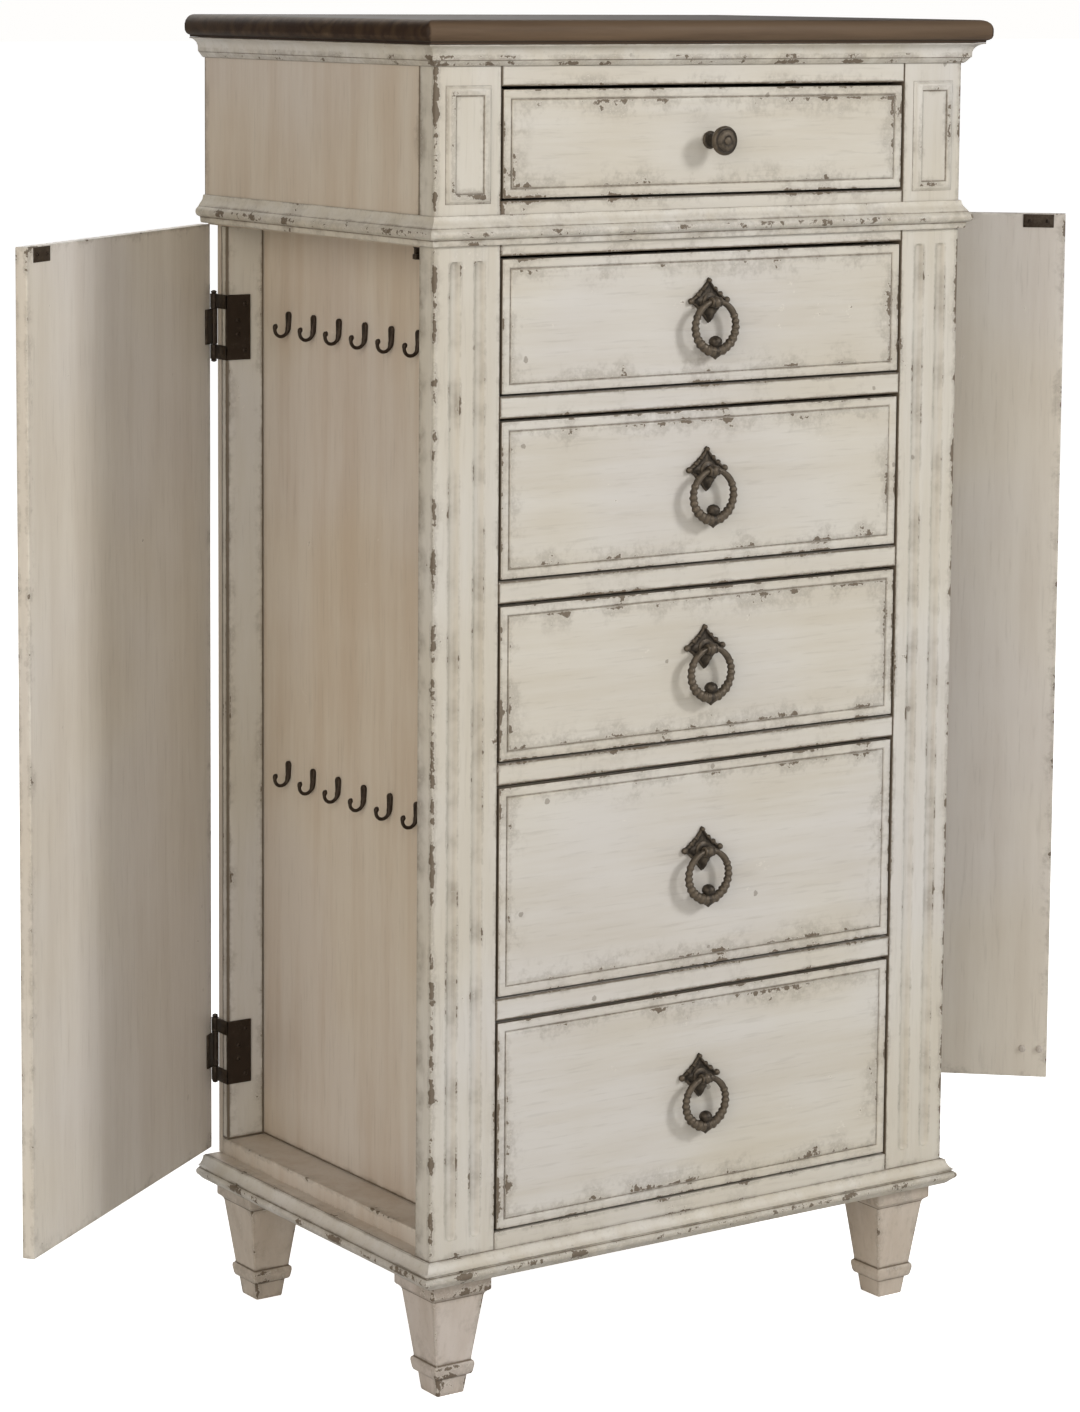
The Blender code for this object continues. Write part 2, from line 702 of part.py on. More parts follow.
def make_door_leaf(name, sign, middle, pivot):
    """The hinge half on the door, around the pin. It is placed from the pin's axis."""
    half = DOOR_KNUCKLE_HEIGHT / 2 - KNUCKLE_END_CLEARANCE
    low, high = middle - half, middle + half
    inside = STILE_FACE + HINGE_CLEARANCE - PIN_X
    leaf = side_box(
        name,
        sign,
        (inside, -DOOR_LEAF_WIDTH, low + 0.0003),
        (inside + LEAF_THICKNESS, 0, high - 0.0003),
        pivot,
        AGED_BRONZE,
    )
    bm = bmesh.new()
    add_turning(bm, ((KNUCKLE_RADIUS, low), (KNUCKLE_RADIUS, high)), (0, 0, 0), "Z", 12)
    to_side(bm, sign)
    knuckle = add_part(name + "_knuckle", bm, pivot)
    bore_radius = PIN_RADIUS + PIN_CLEARANCE
    bm = bmesh.new()
    add_turning(bm, ((bore_radius, low - 0.002), (bore_radius, high + 0.002)), (0, 0, 0), "Z", 12)
    to_side(bm, sign)
    bore = add_part(name + "_bore", bm, pivot)
    combine(leaf, [knuckle], "UNION")
    combine(leaf, [bore], "DIFFERENCE")


def make_doors(cabinet):
    """Both side doors. Each turns about the pin of its hinges, behind the cabinet's back edge."""
    hinge_heights = (
        ("upper", DOOR_TOP - HINGE_END_DISTANCE),
        ("lower", DOOR_BOTTOM + HINGE_END_DISTANCE),
    )
    for side, sign, opening in (("left", -1, LEFT_DOOR_OPEN), ("right", 1, RIGHT_DOOR_OPEN)):
        pivot = add_empty(f"door_pivot_{side}", cabinet, (sign * PIN_X, PIN_Y, 0), sign * opening)
        side_box(
            f"side_door_{side}",
            sign,
            (HALF_WIDTH - DOOR_THICKNESS - PIN_X, BEHIND_POST + DOOR_FRONT_GAP - PIN_Y, DOOR_BOTTOM),
            (HALF_WIDTH - PIN_X, BODY_DEPTH - DOOR_BACK_GAP - PIN_Y, DOOR_TOP),
            pivot,
            SIDE_PAINT,
        )
        for level, height in hinge_heights:
            make_frame_leaf(f"hinge_frame_leaf_{side}_{level}", sign, height, cabinet)
            make_door_leaf(f"hinge_door_leaf_{side}_{level}", sign, height, pivot)


def make_drawer_front(name, half_width, height, drawer):
    """A drawer front with a flat border, and a fine groove between it and the middle."""
    bm = bmesh.new()
    add_box(bm, (-half_width, 0, DRAWER_REVEAL), (half_width, FRONT_THICKNESS, height - DRAWER_REVEAL))
    face = min(bm.faces, key=lambda f: f.calc_center_median().y)
    for width, depth in ((FRONT_BORDER, 0), (FRONT_GROOVE, -FRONT_GROOVE), (FRONT_GROOVE, FRONT_GROOVE)):
        bmesh.ops.inset_region(bm, faces=[face], thickness=width, depth=depth, use_even_offset=True)
    add_part(name, bm, drawer, CREAM_PAINT)


def make_drawer_box(name, height, drawer):
    """The open-top box behind a drawer front."""
    half = HALF_OPENING - BOX_SIDE_CLEARANCE
    low = DRAWER_REVEAL
    high = height - BOX_HEAD_SPACE
    bm = bmesh.new()
    add_box(bm, (-half, FRONT_THICKNESS + JOINT_GAP, low), (half, BACK_FACE - BOX_BACK_SPACE, high))
    face = max(bm.faces, key=lambda f: f.calc_center_median().z)
    bmesh.ops.inset_region(bm, faces=[face], thickness=BOX_WALL, depth=0, use_even_offset=True)
    sunk = bmesh.ops.extrude_face_region(bm, geom=[face])["geom"]
    verts = [item for item in sunk if isinstance(item, bmesh.types.BMVert)]
    bmesh.ops.translate(bm, vec=(0, 0, low + BOX_FLOOR - high), verts=verts)
    bmesh.ops.delete(bm, geom=[face], context="FACES_ONLY")
    add_part(name, bm, drawer, RAW_WOOD)


def make_knob(drawer, height):
    """A turned knob: a small base, a thin neck, and a domed head with a raised centre."""
    reach = KNOB_PROJECTION
    head = KNOB_RADIUS
    profile = (
        (KNOB_BASE_RADIUS, -JOINT_GAP),
        (KNOB_BASE_RADIUS, -0.0020),
        (KNOB_NECK_RADIUS, -0.0040),
        (KNOB_NECK_RADIUS + 0.0006, -reach + 0.0150),
        (head * 0.72, -reach + 0.0105),
        (head * 0.97, -reach + 0.0072),
        (head, -reach + 0.0050),
        (head * 0.93, -reach + 0.0030),
        (head * 0.62, -reach + 0.0016),
        (head * 0.34, -reach + 0.0012),
        (head * 0.20, -reach),
    )
    bm = bmesh.new()
    add_turning(bm, profile, (0, 0, height), "Y")
    add_part("drawer_1_knob", bm, drawer, AGED_BRONZE, rounded=True)


def plate_outline():
    """A pointed plate: four tips joined by slightly hollow sides."""
    tips = [
        Vector((PLATE_HALF_WIDTH, 0)),
        Vector((0, PLATE_HALF_HEIGHT)),
        Vector((-PLATE_HALF_WIDTH, 0)),
        Vector((0, -PLATE_HALF_HEIGHT)),
    ]
    steps = 4
    points = []
    for start, end in zip(tips, tips[1:] + tips[:1]):
        inward = -((start + end) / 2).normalized()
        for i in range(steps):
            share = i / steps
            points.append(start.lerp(end, share) + inward * PLATE_HOLLOW * math.sin(math.pi * share))
    return points


def make_pull_plate(name, height, drawer):
    """The backplate of a pull, and the bored boss that holds its ring."""
    bm = bmesh.new()
    outline = [(point.x, height + point.y) for point in plate_outline()]
    extrude_outline(bm, outline, -JOINT_GAP - PLATE_THICKNESS, -JOINT_GAP, "Y")
    plate = add_part(name, bm, drawer, AGED_BRONZE)
    bm = bmesh.new()
    neck = ((BOSS_NECK_RADIUS, -PULL_STANDOFF), (BOSS_NECK_RADIUS, -JOINT_GAP - PLATE_THICKNESS / 2))
    add_turning(bm, neck, (0, 0, height), "Y", 12)
    neck_part = add_part(name + "_neck", bm, drawer)
    bm = bmesh.new()
    bmesh.ops.create_uvsphere(bm, u_segments=14, v_segments=8, radius=BOSS_RADIUS)
    bmesh.ops.translate(bm, vec=(0, -PULL_STANDOFF, height), verts=bm.verts)
    boss = add_part(name + "_boss", bm, drawer)
    bm = bmesh.new()
    bore = RING_PIN_RADIUS + EYE_CLEARANCE
    add_turning(bm, ((bore, -0.01), (bore, 0.01)), (0, -PULL_STANDOFF, height), "X", 12)
    eye = add_part(name + "_eye", bm, drawer)
    combine(plate, [neck_part, boss], "UNION")
    combine(plate, [eye], "DIFFERENCE")


def ring_stations():
    """Places along a pull's ring, as (x, z, tangent angle, wire radius) from its straight top."""
    drop = math.sqrt(RING_RADIUS**2 - RING_PIN_HALF_LENGTH**2)
    half_angle = math.asin(RING_PIN_HALF_LENGTH / RING_RADIUS)
    stations = [(-RING_PIN_HALF_LENGTH + 0.0008, 0, 0, RING_PIN_RADIUS)]
    stations.append((RING_PIN_HALF_LENGTH - 0.0008, 0, 0, RING_PIN_RADIUS))
    steps = 16
    for i in range(steps + 1):
        share = i / steps
        angle = half_angle + (2 * math.pi - 2 * half_angle) * share
        x = RING_RADIUS * math.sin(angle)
        z = RING_RADIUS * math.cos(angle) - drop
        thickness = RING_PIN_RADIUS + (RING_WIRE - RING_PIN_RADIUS) * min(1, 4 * math.sin(math.pi * share))
        stations.append((x, z, angle, thickness))
    return stations


def make_ring(name, pivot):
    """The loose ring: a straight pin across its top, a round wire, and a bud at the bottom."""
    loops = []
    for x, z, angle, thickness in ring_stations():
        outward = Vector((math.sin(angle), 0, math.cos(angle)))
        loop = []
        for k in range(WIRE_SIDES):
            turn = 2 * math.pi * k / WIRE_SIDES
            offset = outward * math.cos(turn) + Vector((0, 1, 0)) * math.sin(turn)
            loop.append(Vector((x, 0, z)) + offset * thickness)
        loops.append(loop)
    bm = bmesh.new()
    loft(bm, loops, closed=True)
    ring = add_part(name, bm, pivot, AGED_BRONZE, rounded=True)
    bottom = -RING_RADIUS - math.sqrt(RING_RADIUS**2 - RING_PIN_HALF_LENGTH**2)
    high = bottom + RING_BUD_LENGTH * 0.7
    low = bottom - RING_WIRE - RING_BUD_LENGTH * 0.12
    profile = (
        (0.0012, low),
        (RING_BUD_RADIUS * 0.8, bottom - RING_WIRE * 0.4),
        (RING_BUD_RADIUS, bottom + RING_WIRE * 0.6),
        (RING_BUD_RADIUS * 0.75, high - 0.0015),
        (RING_BUD_RADIUS * 0.3, high),
    )
    bm = bmesh.new()
    add_turning(bm, profile, (0, 0, 0), "Z", 12)
    bud = add_part(name + "_bud", bm, pivot)
    combine(ring, [bud], "UNION")


def make_drawers(cabinet):
    """Six drawers, numbered from the top. Each has its own empty, which slides with it."""
    openings = [(WAIST_TOP, TOP_OPENING_HEIGHT)]
    low = COMPARTMENT_CEILING
    for height in reversed(OPENING_HEIGHTS):
        low -= height
        openings.append((low, height))
        low -= RAIL_HEIGHT
    half_front = HALF_OPENING - DRAWER_REVEAL
    for number, (low, height) in enumerate(openings, 1):
        drawer = add_empty(f"drawer_{number}", cabinet, (0, 0, low))
        make_drawer_front(f"drawer_{number}_front", half_front, height, drawer)
        make_drawer_box(f"drawer_{number}_box", height, drawer)
        if number == 1:
            make_knob(drawer, height / 2)
            continue
        centre = height / 2 + PULL_ABOVE_MIDDLE
        make_pull_plate(f"pull_{number}_plate", centre, drawer)
        pivot = add_empty(f"pull_{number}_pivot", drawer, (0, -PULL_STANDOFF, centre))
        make_ring(f"pull_{number}_ring", pivot)


def stand_on_footprint(cabinet):
    """Move the whole chest so that the middle of its bounding box is over the origin."""
    bpy.context.view_layer.update()
    graph = bpy.context.evaluated_depsgraph_get()
    corners = []
    for obj in bpy.context.scene.objects:
        if obj.type == "MESH" and not obj.hide_render:
            shape = obj.evaluated_get(graph)
            corners += [obj.matrix_world @ Vector(corner) for corner in shape.bound_box]
    for axis in (0, 1):
        values = [corner[axis] for corner in corners]
        cabinet.location[axis] = -(min(values) + max(values)) / 2
    bpy.context.view_layer.update()


def main():
    clear_scene()
    cabinet = add_empty("cabinet")
    make_feet(cabinet)
    make_base_board(cabinet)
    make_posts(cabinet)
    make_rails(cabinet)
    make_waist_board(cabinet)
    make_case(cabinet)
    make_hooks_and_recess(cabinet)
    make_slab(cabinet)
    make_mouldings(cabinet)
    make_drawers(cabinet)
    make_doors(cabinet)
    stand_on_footprint(cabinet)


main()
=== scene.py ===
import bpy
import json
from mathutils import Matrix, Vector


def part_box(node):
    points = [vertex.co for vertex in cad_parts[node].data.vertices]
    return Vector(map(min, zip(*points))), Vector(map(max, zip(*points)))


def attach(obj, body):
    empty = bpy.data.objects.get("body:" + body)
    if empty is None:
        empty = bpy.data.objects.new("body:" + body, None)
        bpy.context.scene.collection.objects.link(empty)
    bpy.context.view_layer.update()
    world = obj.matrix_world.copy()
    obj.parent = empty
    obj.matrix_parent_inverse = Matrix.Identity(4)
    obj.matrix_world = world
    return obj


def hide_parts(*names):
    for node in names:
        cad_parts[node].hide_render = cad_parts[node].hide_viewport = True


bl_info = {
    "name": "Painted Jewelry Chest",
    "version": (1, 0, 0),
    "blender": (4, 5, 0),
    "location": "View3D > Sidebar > Jewelry Chest",
    "description": "Dresses the frame of a tall painted jewelry chest with worn paint, walnut and bronze",
    "category": "Object",
}

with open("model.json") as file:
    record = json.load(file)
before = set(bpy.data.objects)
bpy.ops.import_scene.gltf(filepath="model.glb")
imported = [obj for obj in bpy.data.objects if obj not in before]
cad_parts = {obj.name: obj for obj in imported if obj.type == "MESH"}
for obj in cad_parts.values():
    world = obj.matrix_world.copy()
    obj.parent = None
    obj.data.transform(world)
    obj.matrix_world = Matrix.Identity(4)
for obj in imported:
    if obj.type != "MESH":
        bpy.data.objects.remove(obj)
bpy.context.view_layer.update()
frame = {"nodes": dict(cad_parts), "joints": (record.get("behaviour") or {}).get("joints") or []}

import json
import math

import bmesh
import bpy
from mathutils import Matrix, Vector

# Places on the frame
BODY_LOW, BODY_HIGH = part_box("base_board")
CENTRE_X = (BODY_LOW.x + BODY_HIGH.x) / 2
HALF_WIDTH = (BODY_HIGH.x - BODY_LOW.x) / 2
FRONT_Y = BODY_LOW.y
BACK_Y = BODY_HIGH.y
SIDES = (("left", -1), ("right", 1))
JOINTS = {joint["name"]: joint for joint in frame["joints"]}

# Sizes in metres that the pieces share
SLACK = 0.0003  # how far a piece reaches into its neighbour, or keeps off it
POST_DEPTH = 0.0216
DOOR_THICKNESS = 0.0105
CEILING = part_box("waist_moulding")[0].z - 0.0012  # of the side compartments

# Distance from an edge at each support line of a board, and how worn the paint is there
WEAR_LINES = ((0.0016, 0.62), (0.0030, 0.34), (0.0080, 0.12), (0.0140, 0.0))

# Turns that lay a lathed shape, made along Z, along each axis
AXIS_X = Matrix.Rotation(math.pi / 2, 3, "Y")
AXIS_Y = Matrix.Rotation(-math.pi / 2, 3, "X")
AXIS_Z = Matrix.Identity(3)


# Shaping ------------------------------------------------------------------------------------


def new_shape():
    """An empty bmesh with the two values that the finishes read: wear, and crevice glaze with painted shade."""
    bm = bmesh.new()
    bm.verts.layers.float.new("worn")
    bm.verts.layers.float.new("crevice")
    return bm


def layers(bm):
    return bm.verts.layers.float["worn"], bm.verts.layers.float["crevice"]


def mark(bm, verts, worn=None, crevice=None):
    for layer, value in zip(layers(bm), (worn, crevice)):
        if value is not None:
            for vert in verts:
                vert[layer] = value


def steps(out, up, *rows):
    """Profile steps in metres, from rows in millimetres that start at a given place."""
    return [(out + a / 1000, up + b / 1000, *rest) for a, b, *rest in rows]


def arc(start, end, parts):
    """Angles in radians from one to another, which are given in degrees."""
    return [math.radians(start + (end - start) * i / parts) for i in range(parts + 1)]


def circle(sides):
    return [(math.cos(2 * math.pi * i / sides), math.sin(2 * math.pi * i / sides)) for i in range(sides)]


def inset(bm, face, width, depth=0.0):
    """Inset one face, which stays the inner one."""
    bmesh.ops.inset_region(bm, faces=[face], thickness=width, depth=depth, use_even_offset=True)


def add_wear_lines(bm, face, lines):
    """Support lines inside a face that let the wear fade away from its edges."""
    done = 0.0
    for distance, worn in lines:
        room = min(edge.calc_length() for edge in face.edges) >= 2.4 * (distance - done)
        if room:
            inset(bm, face, distance - done)
        mark(bm, face.verts, worn=worn)
        if not room:
            return
        done = distance


def add_board(bm, low, high, edge=0.001, lines=WEAR_LINES):
    """A board with softened edges. Returns its flat faces by direction."""
    low, high = Vector(low), Vector(high)
    place = Matrix.Translation((low + high) / 2) @ Matrix.Diagonal((*(high - low), 1.0))
    made = bmesh.ops.create_cube(bm, size=1.0, matrix=place)
    edges = list({e for v in made["verts"] for e in v.link_edges})
    rounded = bmesh.ops.bevel(
        bm, geom=edges, affect="EDGES", offset=edge, segments=2, profile=0.5, material=-1, clamp_overlap=True
    )
    faces = list({f for v in rounded["verts"] for f in v.link_faces})
    mark(bm, {v for f in faces for v in f.verts}, worn=1.0)
    bm.normal_update()
    flat = {}
    for face in [f for f in faces if max(abs(n) for n in f.normal) > 0.999]:
        flat[tuple(round(n) for n in face.normal)] = face
        add_wear_lines(bm, face, lines)
    return flat


def add_tower(bm, rings, closed_ends=True):
    """Extrude a loop of points through rings of (point, worn, crevice), with caps at both ends."""
    worn_layer, crevice_layer = layers(bm)
    verts = []
    for point, worn, crevice in rings[0]:
        vert = bm.verts.new(point)
        vert[worn_layer], vert[crevice_layer] = worn, crevice
        verts.append(vert)
    edges = [bm.edges.new((a, b)) for a, b in zip(verts, verts[1:] + verts[:1])]
    if closed_ends:
        bm.faces.new(verts[::-1])
    for ring in rings[1:]:
        grown = bmesh.ops.extrude_edge_only(bm, edges=edges)["geom"]
        fresh = {tuple(item.co): item for item in grown if isinstance(item, bmesh.types.BMVert)}
        verts = [fresh[tuple(vert.co)] for vert in verts]
        for vert, (point, worn, crevice) in zip(verts, ring):
            vert.co = point
            vert[worn_layer], vert[crevice_layer] = worn, crevice
        edges = [bm.edges.get((a, b)) for a, b in zip(verts, verts[1:] + verts[:1])]
    if closed_ends:
        bm.faces.new(verts)


def add_turned(bm, profile, centre, turn, sides):
    """A lathed shape from (radius, distance along the axis, worn) steps, capped at both ends."""
    rings = []
    for radius, along, worn in profile:
        points = [Vector((radius * c, radius * s, along)) for c, s in circle(sides)]
        rings.append([(Vector(centre) + turn @ point, worn, 0.0) for point in points])
    add_tower(bm, rings)


def add_tube(bm, path, radii, sides, closed=False, worn=0.45):
    """A round wire along a path that keeps one y."""
    side = Vector((0, 1, 0))
    rings = []
    for i, (point, radius) in enumerate(zip(path, radii)):
        before = path[i - 1] if i or closed else point
        after = path[(i + 1) % len(path)] if i + 1 < len(path) or closed else point
        across = (after - before).normalized().cross(side)
        rings.append([(point + (across * c + side * s) * radius, worn, 0.0) for c, s in circle(sides)])
    if closed:
        close_tower(bm, rings)
    else:
        add_tower(bm, rings)


def close_tower(bm, rings):
    """A tower whose last ring joins its first."""
    add_tower(bm, rings + [rings[0]], closed_ends=False)
    bmesh.ops.remove_doubles(bm, verts=bm.verts, dist=1e-6)


def add_screw(bm, centre, direction, radius, dome=1.0):
    """A screw head lying on a plate, with its drive sunk in the middle."""
    drive = 0.0004 * dome - 0.0002
    head = ((1.0, -0.0001), (0.98, 0.0003 * dome), (0.8, 0.0007 * dome), (0.45, 0.0009 * dome))
    profile = [(radius * share, height, 0.5) for share, height in head]
    profile += [(radius * share, drive, 0.0) for share in (0.42, 0.1)]
    add_turned(bm, profile, centre, Vector(direction).to_track_quat("Z", "X").to_matrix(), 16)


def soft_square(half, radius):
    """Points of a square section with round corners, as (x, y, worn)."""
    support = ((0.0055, 0.12), (0.0020, 0.45))
    flat = half - radius
    quarter = [(half, flat - gap, worn) for gap, worn in support]
    quarter += [(flat + radius * math.cos(a), flat + radius * math.sin(a), 1.0) for a in arc(0, 90, 2)]
    quarter += [(flat - gap, half, worn) for gap, worn in reversed(support)]
    points = []
    for c, s in ((1, 0), (0, 1), (-1, 0), (0, -1)):
        points += [(c * x - s * y, s * x + c * y, worn) for x, y, worn in quarter]
    return points


def to_side(bm, sign):
    """Mirror a shape made for the right side about the chest's middle."""
    if sign < 0:
        for vert in bm.verts:
            vert.co.x = 2 * CENTRE_X - vert.co.x


def spin_about(bm, pin, angle):
    """Turn a whole shape about an upright line."""
    pin = Vector(pin)
    turn = Matrix.Translation(pin) @ Matrix.Rotation(angle, 4, "Z") @ Matrix.Translation(-pin)
    bmesh.ops.transform(bm, matrix=turn, verts=bm.verts)


def split_materials(bm, first):
    """Give every face outside the first set the piece's second material."""
    for face in bm.faces:
        face.material_index = 0 if face in first else 1


def put_piece(name, bm, body, nodes, materials, smooth=38):
    """Make the piece from its bmesh, put it under its body, and hide the nodes that it replaces."""
    bmesh.ops.recalc_face_normals(bm, faces=bm.faces)
    mesh = bpy.data.meshes.new(name)
    bm.to_mesh(mesh)
    bm.free()
    mesh.shade_smooth()
    mesh.set_sharp_from_angle(angle=math.radians(smooth))
    piece = bpy.data.objects.new(name, mesh)
    bpy.context.scene.collection.objects.link(piece)
    for material in materials:
        mesh.materials.append(material)
    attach(piece, body)
    if nodes:
        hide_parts(*nodes)
    return piece


def paint_node(node, material):
    """Give a carried-over node its finish."""
    mesh = frame["nodes"][node].data
    mesh.materials.clear()
    mesh.materials.append(material)


# Finishes -----------------------------------------------------------------------------------


class Graph:
    """A few shorthands for building a node tree."""

    def __init__(self, tree):
        self.tree = tree

    def add(self, kind, **settings):
        node = self.tree.nodes.new(kind)
        for key, value in settings.items():
            setattr(node, key, value)
        return node

    def feed(self, socket, value):
        if isinstance(value, bpy.types.NodeSocket):
            self.tree.links.new(value, socket)
        else:
            socket.default_value = value

    def math(self, operation, *values, clamp=False):
        node = self.add("ShaderNodeMath", operation=operation, use_clamp=clamp)
        for socket, value in zip(node.inputs, values):
            self.feed(socket, value)
        return node.outputs[0]

    def times(self, first, second, clamp=False):
        return self.math("MULTIPLY", first, second, clamp=clamp)

    def plus(self, first, second):
        return self.math("ADD", first, second)

    def minus(self, first, second):
        return self.math("SUBTRACT", first, second)

    def object_place(self):
        return self.add("ShaderNodeTexCoord").outputs["Object"]

    def noise(self, vector, scale, detail=3.0, roughness=0.5):
        node = self.add("ShaderNodeTexNoise")
        self.feed(node.inputs["Vector"], vector)
        node.inputs["Scale"].default_value = scale
        node.inputs["Detail"].default_value = detail
        node.inputs["Roughness"].default_value = roughness
        return node.outputs["Fac"]

    def ramp(self, value, low, high, start=0.0, end=1.0):
        node = self.add("ShaderNodeMapRange", interpolation_type="SMOOTHSTEP")
        items = {"Value": value, "From Min": low, "From Max": high, "To Min": start, "To Max": end}
        for key, item in items.items():
            self.feed(node.inputs[key], item)
        return node.outputs["Result"]

    def mix(self, share, first, second, blend="MIX"):
        """Mix two colours. A Mix node's colour sockets are its seventh and eighth."""
        node = self.add("ShaderNodeMix", data_type="RGBA", blend_type=blend)
        for socket, value in ((node.inputs["Factor"], share), (node.inputs[6], first), (node.inputs[7], second)):
            self.feed(socket, value)
        return node.outputs[2]

    def stretch(self, vector, scale):
        node = self.add("ShaderNodeVectorMath", operation="MULTIPLY")
        self.feed(node.inputs[0], vector)
        self.feed(node.inputs[1], scale)
        return node.outputs[0]

    def attribute(self, name):
        return self.add("ShaderNodeAttribute", attribute_name=name).outputs["Fac"]


COLOUR, NUMBER, VECTOR = "NodeSocketColor", "NodeSocketFloat", "NodeSocketVector"


def shared_group(name, inputs, build):
    """A node group that gives a surface's colour, roughness and height. It is built once."""
    tree = bpy.data.node_groups.get(name)
    if tree:
        return tree
    tree = bpy.data.node_groups.new(name, "ShaderNodeTree")
    for label, kind, value in inputs:
        tree.interface.new_socket(label, in_out="INPUT", socket_type=kind).default_value = value
    for label, kind in (("Colour", COLOUR), ("Roughness", NUMBER), ("Height", NUMBER)):
        tree.interface.new_socket(label, in_out="OUTPUT", socket_type=kind)
    g = Graph(tree)
    given, result = g.add("NodeGroupInput").outputs, g.add("NodeGroupOutput").inputs
    for label, value in zip(("Colour", "Roughness", "Height"), build(g, given, g.object_place())):
        g.feed(result[label], value)
    return tree


def worn_paint(g, given, place):
    """Brushed paint, rubbed through to the wood on edges, with dark glaze and painted shade in its crevices, and a
    painted highlight beside the rubbed edges.
    """
    grain = g.stretch(place, given["Grain"])
    streak = g.noise(grain, 46, 5, 0.62)
    brush = g.noise(grain, 330, 3, 0.6)
    blotch = g.noise(place, 6.5, 3, 0.55)
    patch = g.noise(place, 38, 3, 0.55)
    chip = g.noise(place, 210, 4, 0.68)
    cloud = g.noise(place, 3.4, 2, 0.5)
    worn = g.attribute("worn")
    crevice = g.attribute("crevice")

    # Two brushed tones, warmer and cooler in broad patches, with fine dark brush lines
    tone = g.plus(g.times(streak, 0.62), g.times(blotch, 0.38))
    tone = g.times(g.ramp(tone, 0.36, 0.66), given["Streaks"], clamp=True)
    colour = g.mix(tone, given["Paint"], given["Second Tone"])
    colour = g.mix(g.ramp(cloud, 0.42, 0.60, 0.0, 0.45), colour, (0.99, 0.955, 0.86, 1), "MULTIPLY")
    colour = g.mix(g.ramp(cloud, 0.50, 0.36, 0.0, 0.5), colour, (0.955, 0.95, 0.985, 1), "MULTIPLY")
    lines = g.ramp(brush, 0.28, 0.46, 0.13, 0.0)
    colour = g.mix(g.times(lines, given["Streaks"], clamp=True), colour, given["Glaze"])

    # Rubbed edges: a glazed halo first, and bare wood where the loss is greatest
    ragged = g.times(g.minus(chip, 0.5), 1.25)
    patchy = g.times(g.minus(patch, 0.5), 1.9)
    loss = g.plus(g.times(worn, given["Wear"]), g.plus(ragged, patchy))
    chips = g.ramp(loss, 0.585, 0.71)
    halo = g.ramp(loss, 0.05, 0.66, 0.0, 0.34)
    colour = g.mix(g.times(halo, g.ramp(worn, 0.0, 0.25)), colour, given["Glaze"])

    # Glaze left in the crevices together with painted shade, soft at first and dark where they are deepest
    dark_glaze_and_shade = g.plus(crevice, g.times(g.minus(chip, 0.5), 0.5))
    soft = g.times(g.ramp(g.plus(crevice, patchy), 0.0, 0.9), 0.42)
    colour = g.mix(g.times(soft, g.ramp(crevice, 0.0, 0.3)), colour, given["Glaze"])
    colour = g.mix(g.times(g.ramp(dark_glaze_and_shade, 0.45, 0.85), 0.88), colour, given["Glaze"])
    # Painted highlight: a paler rim of paint just short of the bare chips
    rim_highlight = g.times(g.ramp(loss, 0.50, 0.60), g.minus(1.0, chips))
    colour = g.mix(g.times(rim_highlight, 0.35), colour, (0.78, 0.75, 0.68, 1))
    colour = g.mix(g.times(chips, 0.90), colour, given["Bare Wood"])

    # A few small dark specks
    cells = g.add("ShaderNodeTexVoronoi")
    g.feed(cells.inputs["Vector"], place)
    cells.inputs["Scale"].default_value = 42
    pick = g.add("ShaderNodeSeparateColor")
    g.feed(pick.inputs[0], cells.outputs["Color"])
    size = g.ramp(pick.outputs[1], 0.0, 1.0, 0.03, 0.11)
    dot = g.math("LESS_THAN", g.plus(cells.outputs["Distance"], g.times(ragged, 0.16)), size)
    speck = g.times(dot, g.math("GREATER_THAN", pick.outputs[0], 0.86))
    speck = g.times(speck, given["Specks"], clamp=True)
    colour = g.mix(g.times(speck, 0.5), colour, given["Glaze"])

    rough = g.plus(g.plus(g.times(streak, 0.16), g.times(chips, 0.18)), 0.42)
    height = g.minus(g.plus(g.times(brush, 0.22), g.times(streak, 0.34)), g.times(chips, 0.9))
    return colour, rough, height


def timber(g, given, place):
    """Bare or stained wood, with growth bands, fine pores, paler rubbed edges, painted shade in its crevices, and on
    the top slab a front face painted lighter.
    """
    grain = g.stretch(place, given["Grain"])
    bend = g.noise(grain, 14, 3, 0.55)
    bands = g.math("PINGPONG", g.math("FRACT", g.times(bend, 9.0)), 0.5)
    pores = g.noise(grain, 520, 2, 0.6)
    figure = g.noise(grain, 60, 5, 0.65)
    share = g.plus(g.times(bands, 0.9), g.times(figure, 0.55))
    colour = g.mix(g.ramp(share, 0.22, 0.78), given["Dark Wood"], given["Light Wood"])
    colour = g.mix(g.ramp(pores, 0.28, 0.42, 0.45, 0.0), colour, given["Dark Wood"])
    # On the top slab the worn value also carries its painted lighter front face, not only rubbed edges
    rub = g.plus(g.attribute("worn"), g.times(g.minus(figure, 0.5), 0.9))
    colour = g.mix(g.ramp(rub, 0.35, 1.0, 0.0, 0.85), colour, given["Edge"])
    # Painted shade: crevices are drawn towards near black
    colour = g.mix(g.ramp(g.attribute("crevice"), 0.2, 0.9, 0.0, 0.7), colour, (0.02, 0.013, 0.009, 1))
    rough = g.minus(g.plus(0.6, g.times(pores, 0.2)), given["Gloss"])
    return colour, rough, g.plus(g.times(pores, 0.5), g.times(figure, 0.4))


